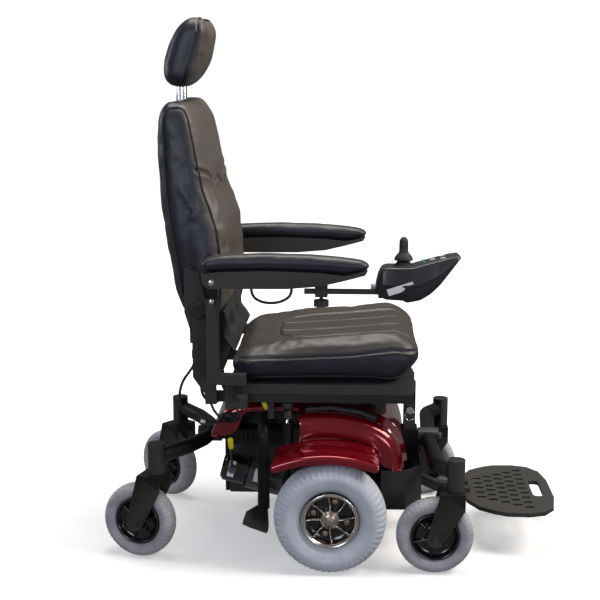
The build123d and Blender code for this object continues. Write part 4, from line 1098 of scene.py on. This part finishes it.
def bodywork():
    """The two parts of the red cover and the mudguards that flow out of it."""
    front_top = smooth_line([(-74, 353), (-38, 356), (-2, 357), (33, 353), (67, 347), (97, 337), (125, 323),
                             (146, 305), (160, 284), (168, 256), (171, 228)], 90, 60)
    front_low = smooth_line([(-74, 281), (-45, 289), (-8, 292), (25, 289), (55, 281), (85, 269), (105, 256),
                             (116, 243), (128, 231), (150, 227), (171, 226)], 90, 30)

    def front_wall(t, x):
        fade = ramp(x, -0.074, -0.04) * (1 - ramp(x, 0.085, 0.125))
        return fade * (0.0025 * math.sin(math.pi * min(1, t / 0.62)) - 0.0070 * ramp(t, 0.56, 0.66)
                       + 0.0035 * ramp(t, 0.74, 1.0))

    front = shell("shroud_front", front_top, front_low, 0.215, 0.026,
                  lambda y: 0.009 * (1 - ramp(y, 0.146, 0.156)), front_wall, 0.148)
    put(front, "base", "shroud_red", "shroud")
    rear_top = smooth_line([(-74, 366), (-100, 368), (-120, 369), (-165, 368), (-205, 366), (-232, 360),
                            (-252, 350), (-266, 334), (-276, 316), (-284, 298), (-288, 285)], 80, 50)
    rear_low = smooth_line([(-74, 347), (-100, 347), (-120, 347), (-165, 347), (-203, 345), (-214, 330),
                            (-220, 305), (-234, 289), (-252, 285), (-270, 284), (-288, 284)], 80, 12)
    rear = shell("shroud_rear", rear_top[::-1], rear_low[::-1], 0.150, 0.018,
                 lambda y: 0.0, lambda t, x: 0.0, 0)
    put(rear, "base", "shroud_red")
    gland = lathe("gland", [(0.0, 0.0), (0.0, 0.0130), (0.0060, 0.0130), (0.0075, 0.0110), (0.0115, 0.0110),
                            (0.0115, 0.0)], (-0.242, -0.1485, 0.331), (0, -1, 0), MAT["rubber"], 40, False)
    for spot in gland.data.vertices:
        spot.co.x = -0.242 + (spot.co.x + 0.242) * 1.9
    put(gland, "base", "shroud_red")
    for side, hand in SIDES.items():
        rows = []
        for x in np.linspace(-0.134, 0.110, 70):
            height = 0.2935 - ((x + 0.008) / 0.13) ** 2 * 0.027
            ends = ramp(x, -0.134, -0.124) * (1 - ramp(x, 0.100, 0.110))
            row = []
            for y in np.linspace(0.2125, 0.294, 22):
                lift = 0.012 * (1 - ramp(y, 0.2125, 0.238)) + 0.004 * math.sin(math.pi * (y - 0.2125) / 0.0815)
                row.append((x, hand * y, height - 0.006 + lift * ends))
            for step in range(1, 7):
                turn = math.pi / 2 * step / 6
                row.append((x, hand * (0.294 + 0.008 * math.sin(turn)), height - 0.006 - 0.008 * (1 - math.cos(turn))))
            for drop in (0.004, 0.008, 0.012):
                row.append((x, hand * (0.302 + 0.0005), height - 0.014 - drop * (0.4 + 0.6 * ends)))
            rows.append(row)
        guard = grid_mesh(f"fender_{side}", rows, MAT["red"], 0.0025)
        put(guard, "base", "shroud_red", "fenders")


# ---------------------------------------------------------------- small hardware
def patch(name, start, axis, radius, reach, spread, middle, material):
    """A thin label wrapped on a round body: reach is its range along the axis, spread its half angle."""
    start, axis, middle = Vector(start), Vector(axis).normalized(), Vector(middle)
    middle = (middle - axis * middle.dot(axis)).normalized()
    third = axis.cross(middle)
    rows = []
    for along in np.linspace(reach[0], reach[1], 6):
        row = []
        for turn in np.linspace(-spread, spread, 14):
            spot = start + axis * along + (middle * math.cos(turn) + third * math.sin(turn)) * (radius + 0.0004)
            row.append(tuple(spot))
        rows.append(row)
    made = grid_mesh(name, rows, material, 0.0003)
    made.modifiers.clear()
    return made


def motors():
    """Gloss motors: end cap ring, cooling band, through bolts and two blank labels each."""
    slope = Vector((-math.cos(math.radians(14)), 0, math.sin(math.radians(14))))
    for side, hand in SIDES.items():
        body = f"drive_unit_{side}"
        start = Vector((-0.062, hand * 0.112, 0.148))
        facing = Vector((0, hand, 0.25))
        put(patch(f"motor_label_{side}", start, slope, 0.038, (0.098, 0.128), 0.42, facing, MAT["label"]),
            body, "motor_black")
        put(patch(f"brake_label_{side}", start, slope, 0.033, (0.176, 0.192), 0.62, facing, MAT["label"]),
            body, "motor_black")
        for along in (0.012, 0.146):
            ring = [(-0.003, 0.0370), (-0.003, 0.0388), (-0.002, 0.0395), (0.002, 0.0395), (0.003, 0.0388),
                    (0.003, 0.0370)]
            put(lathe(f"motor_band_{side}_{int(along * 1000)}", ring, start + slope * along, slope,
                      MAT["fins"], 72), body, "motor_black")
        for turn in (0.6, 2.2, 3.8, 5.4):
            spot = Vector((0, math.cos(turn), math.sin(turn))) * 0.030
            bolt(f"motor_bolt_{side}_{int(turn * 10)}", start + slope * 0.1495 + spot, slope, 0.0028, 0.003,
                 MAT["zinc"], body, "motor_black")


def springs():
    """Each strut: cap, rod and an open coil in place of the plain sleeve."""
    for side, hand in SIDES.items():
        low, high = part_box("strut_springs")
        x, y = (low.x + high.x) / 2, hand * (high.y - 0.014)
        turns, wire = 4.5, 0.0021
        coil = []
        for step in range(int(turns * 16) + 1):
            turn = 2 * math.pi * step / 16
            height = 0.3455 + 0.0205 * step / (turns * 16)
            coil.append((x + 0.0104 * math.cos(turn), y + 0.0104 * math.sin(turn), height))
        put(tube(f"strut_coil_{side}", coil, wire, MAT["enamel"], False, 8, 3), "base", "strut_steel",
            "strut_springs")
        cap = [(0.0, 0.0), (0.0, 0.0125), (0.002, 0.0140), (0.012, 0.0140), (0.016, 0.0115), (0.018, 0.006),
               (0.018, 0.0)]
        put(lathe(f"strut_cap_{side}", cap, (x, y, 0.368), (0, 0, 1), MAT["plastic"], 48, False), "base",
            "strut_steel")
        rod = [(0.0, 0.0), (0.0, 0.0046), (0.001, 0.0050), (0.068, 0.0050), (0.068, 0.0)]
        put(lathe(f"strut_rod_{side}", rod, (x, y, 0.300), (0, 0, 1), MAT["chrome"], 32, False), "base",
            "strut_steel")


def grips():
    """Yellow moulded grips on the freewheel levers and the seat release."""
    tips = [(f"freewheel_{side}", f"freewheel_grip_{side}", (-0.2361, hand * 0.1726, 0.264), (-0.001, hand * 0.006, 0.022))
            for side, hand in SIDES.items()]
    tips.append(("seat_release", "seat_release_grip", (-0.1502, -0.181, 0.3645), (-0.0068, 0, 0.0135)))
    for body, name, start, run in tips:
        run = Vector(run)
        length = run.length
        form = [(-0.0035, 0.0), (-0.0035, 0.0050), (-0.001, 0.0068), (length * 0.4, 0.0069), (length * 0.55, 0.0066),
                (length * 0.75, 0.0070), (length * 0.95, 0.0068), (length + 0.0012, 0.0050),
                (length + 0.0022, 0.0)]
        put(lathe(name, form, start, run, MAT["yellow"], 40, False), body, "lever_steel")


def screws():
    """Hex screw heads and nuts that show on the armrests, forks and brackets, and caps on the caster stems."""
    for side, hand in SIDES.items():
        face = hand * (ARM_Y + 0.0235)
        bolt(f"arm_screw_{side}", (-0.265, face, 0.679), (0, hand, 0), 0.0050, 0.0032, MAT["chrome"],
             f"arm_{side}", "chrome")
        bolt(f"post_screw_{side}", (-0.265, hand * (ARM_Y + 0.0228), 0.636), (0, hand, 0), 0.0042, 0.0030,
             MAT["chrome"], "base", "chrome")
        for name, stem in ((f"front_{side}", FRONT_STEM), (f"rear_{side}", REAR_STEM)):
            yaw = math.radians(YAWS[name])
            forward = Vector((math.cos(yaw), -math.sin(yaw), 0))
            axis = Vector((math.sin(yaw), math.cos(yaw), 0))
            axle = Vector((stem[0], hand * stem[1], CASTER_R)) - forward * TRAIL
            for way in (-1, 1):
                bolt(f"{name}_axle_cap_{'in' if way * hand < 0 else 'out'}", axle + axis * way * 0.0345, axis * way,
                     0.0036, 0.0052, MAT["zinc"], f"{name}_swivel", "painted_black")
            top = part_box("front_beam" if name.startswith("front") else "rear_beam")[1].z
            cap = [(-0.002, 0.0), (-0.002, 0.0175), (0.0, 0.0190), (0.002, 0.0185), (0.0035, 0.0160),
                   (0.0045, 0.0)]
            put(lathe(f"{name}_stem_cap", cap, (stem[0], hand * stem[1], top - 0.003), (0, 0, 1),
                      MAT["plastic"], 56, False), f"{name.split('_')[0]}_axle", "painted_black")


def pin_ring():
    """Split ring that hangs from the footrest's height pin."""
    low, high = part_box("height_pin")
    x, y, z = (low.x + high.x) / 2, low.y + 0.004, (low.z + high.z) / 2
    loop = [(x + 0.0125 * math.sin(turn), y - 0.003, z - 0.0125 + 0.0125 * math.cos(turn))
            for turn in np.linspace(0, 2 * math.pi, 25)[:-1]]
    put(tube("pin_ring", loop, 0.0010, MAT["chrome"], True, 8), "footrest_pin", "chrome")


def controller_case():
    """Two-level case: flat deck round the stick, panel rising to the front, sides that slope to a waist."""
    top = ([0.097, 0.103, 0.112, 0.122, 0.177, 0.204, 0.260, 0.277, 0.284],
           [0.668, 0.697, 0.7125, 0.716, 0.7165, 0.7245, 0.7395, 0.7425, 0.7375])
    low = ([0.097, 0.104, 0.120, 0.158, 0.166, 0.196, 0.218, 0.240, 0.265, 0.284],
           [0.664, 0.650, 0.643, 0.641, 0.636, 0.642, 0.656, 0.678, 0.712, 0.7365])
    wide = ([0.097, 0.104, 0.115, 0.135, 0.235, 0.262, 0.277, 0.284], [0.028, 0.037, 0.042, 0.0435, 0.0435, 0.040, 0.033, 0.024])
    section = [(0.0, 1.0), (0.30, 1.0), (0.60, 1.0), (0.76, 0.995), (0.83, 0.97), (0.87, 0.90), (0.93, 0.70),
               (0.985, 0.53), (1.0, 0.49), (0.99, 0.45), (0.955, 0.43), (0.95, 0.30), (0.90, 0.12), (0.80, 0.03),
               (0.60, 0.0), (0.0, 0.0)]
    verts, faces = [], []
    stations = np.concatenate([np.linspace(0.097, 0.125, 12), np.linspace(0.130, 0.255, 32),
                               np.linspace(0.259, 0.284, 12)])
    loop = section + [(-y, z) for y, z in reversed(section[1:-1])]
    for x in stations:
        high, base = np.interp(x, *top), np.interp(x, *low)
        for y, z in loop:
            verts.append((x, CONTROL_Y + y * np.interp(x, *wide), base + z * (high - base)))
    count = len(loop)
    for i in range(len(stations) - 1):
        for j in range(count):
            k = (j + 1) % count
            faces.append((i * count + j, i * count + k, (i + 1) * count + k, (i + 1) * count + j))
    faces.append(tuple(range(count)))
    faces.append(tuple((len(stations) - 1) * count + j for j in reversed(range(count))))
    case = mesh_object("controller_case_look", verts, faces, MAT["satin"])
    soften = case.modifiers.new("soften", "SUBSURF")
    soften.levels = soften.render_levels = 1
    put(case, "controller", "case_black", "controller_case")
    stick_x = 0.159
    collar = [(0.0, 0.0195), (0.0, 0.0225), (0.0015, 0.0232), (0.0032, 0.0222), (0.0035, 0.0195)]
    put(lathe("stick_collar", collar, (stick_x, CONTROL_Y, 0.7150), (0, 0, 1), MAT["plastic"], 64), "controller",
        "case_black")
    pleats = [(0.0, 0.0), (0.0, 0.0170), (0.0025, 0.0188), (0.0045, 0.0165), (0.0065, 0.0180), (0.0085, 0.0150),
              (0.0102, 0.0160), (0.0115, 0.0120), (0.0120, 0.0)]
    bellows = lathe("joystick_bellows_look", pleats, (stick_x, CONTROL_Y, 0.7140), (0, 0, 1), MAT["rubber"], 64,
                    False)
    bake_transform(bellows)
    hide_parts("joystick_bellows")
    knob = [(0.0, 0.0), (0.0, 0.0040), (0.0135, 0.0042), (0.0140, 0.0120), (0.0148, 0.0200), (0.0160, 0.0208),
            (0.0185, 0.0204), (0.0230, 0.0185), (0.0275, 0.0150), (0.0310, 0.0116), (0.0345, 0.0102),
            (0.0450, 0.0100), (0.0560, 0.0098), (0.0600, 0.0088), (0.0635, 0.0066), (0.0658, 0.0036),
            (0.0665, 0.0)]
    put(lathe("joystick_look", knob, (stick_x, CONTROL_Y, 0.7135), (0, 0, 1), MAT["rubber"], 64, False), "stick",
        "stick_rubber", "joystick")


def controller_details():
    """Blank label, lamps and connector of the joystick box."""
    tilt = math.radians(14)
    along, lift = Vector((math.cos(tilt), 0, math.sin(tilt))), Vector((-math.sin(tilt), 0, math.cos(tilt)))
    panel = Vector((0.232, CONTROL_Y, 0.7330))
    lamps = []
    for i in range(7):
        y = (i - 3) * 0.0062
        spot = panel - along * 0.030 + Vector((0, y, 0)) + lift * 0.0006
        lamps.append(lathe(f"lamp_{i}", disc_profile(0.0018, -0.001, 0.0009, 0.0004), spot, lift, MAT["led"], 20,
                           False))
    put(joined("speed_lamps", lamps), "controller", "case_black")
    rows = [[(x + dx, CONTROL_Y - y, z + dx * 0.33) for dx in np.linspace(0, 0.056, 8)]
            for x, z, y in ((0.1265, 0.6545, 0.0410), (0.1240, 0.6620, 0.0424), (0.1215, 0.6695, 0.0440))]
    label = grid_mesh("side_label", rows, MAT["label"], 0.0003)
    label.modifiers.clear()
    put(label, "controller", "case_black")
    plug = [(0.0, 0.0), (0.0, 0.0062), (0.0015, 0.0072), (0.0050, 0.0072), (0.0055, 0.0064), (0.0085, 0.0064),
            (0.0090, 0.0072), (0.0125, 0.0072), (0.0135, 0.0060), (0.0135, 0.0)]
    put(lathe("controller_plug", plug, (0.0870, CONTROL_Y, 0.6680), (1, 0, 0), MAT["connector"], 32, False),
        "controller", "case_black")


def tape_sleeve():
    """White marking sleeve round the outer loom."""
    form = [(-0.006, 0.0034), (-0.006, 0.0040), (0.006, 0.0040), (0.006, 0.0034)]
    put(lathe("loom_sleeve", form, (-0.2990, -0.2020, 0.3358), (0.88, 0.33, -0.28), MAT["label"], 32), "base",
        "cable_black")


def clamp_stud():
    """Chrome stud cap on the armrest's clamp knob."""
    low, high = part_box("clamp_knob")
    x, y = (low.x + high.x) / 2, (low.y + high.y) / 2
    form = [(0.0, 0.0), (0.0, 0.0055), (0.001, 0.0060), (0.003, 0.0060), (0.004, 0.0050), (0.004, 0.0)]
    put(lathe("clamp_stud_cap", form, (x, y, low.z - 0.0030), (0, 0, 1), MAT["chrome"], 32, False),
        "arm_clamp", "knob_black")


# ---------------------------------------------------------------- assemble
finish_cad()
cables()
for side_name, sign in SIDES.items():
    drive_tyre(side_name, sign)
    drive_rim(side_name, sign)
    caster_wheel(f"front_{side_name}", FRONT_STEM, sign)
    caster_wheel(f"rear_{side_name}", REAR_STEM, sign)
    armrest(side_name, sign)
seat_cushion()
back_cushion()
headrest()
seat_flap()
bodywork()
motors()
springs()
grips()
screws()
pin_ring()
controller_case()
controller_details()
tape_sleeve()
clamp_stud()
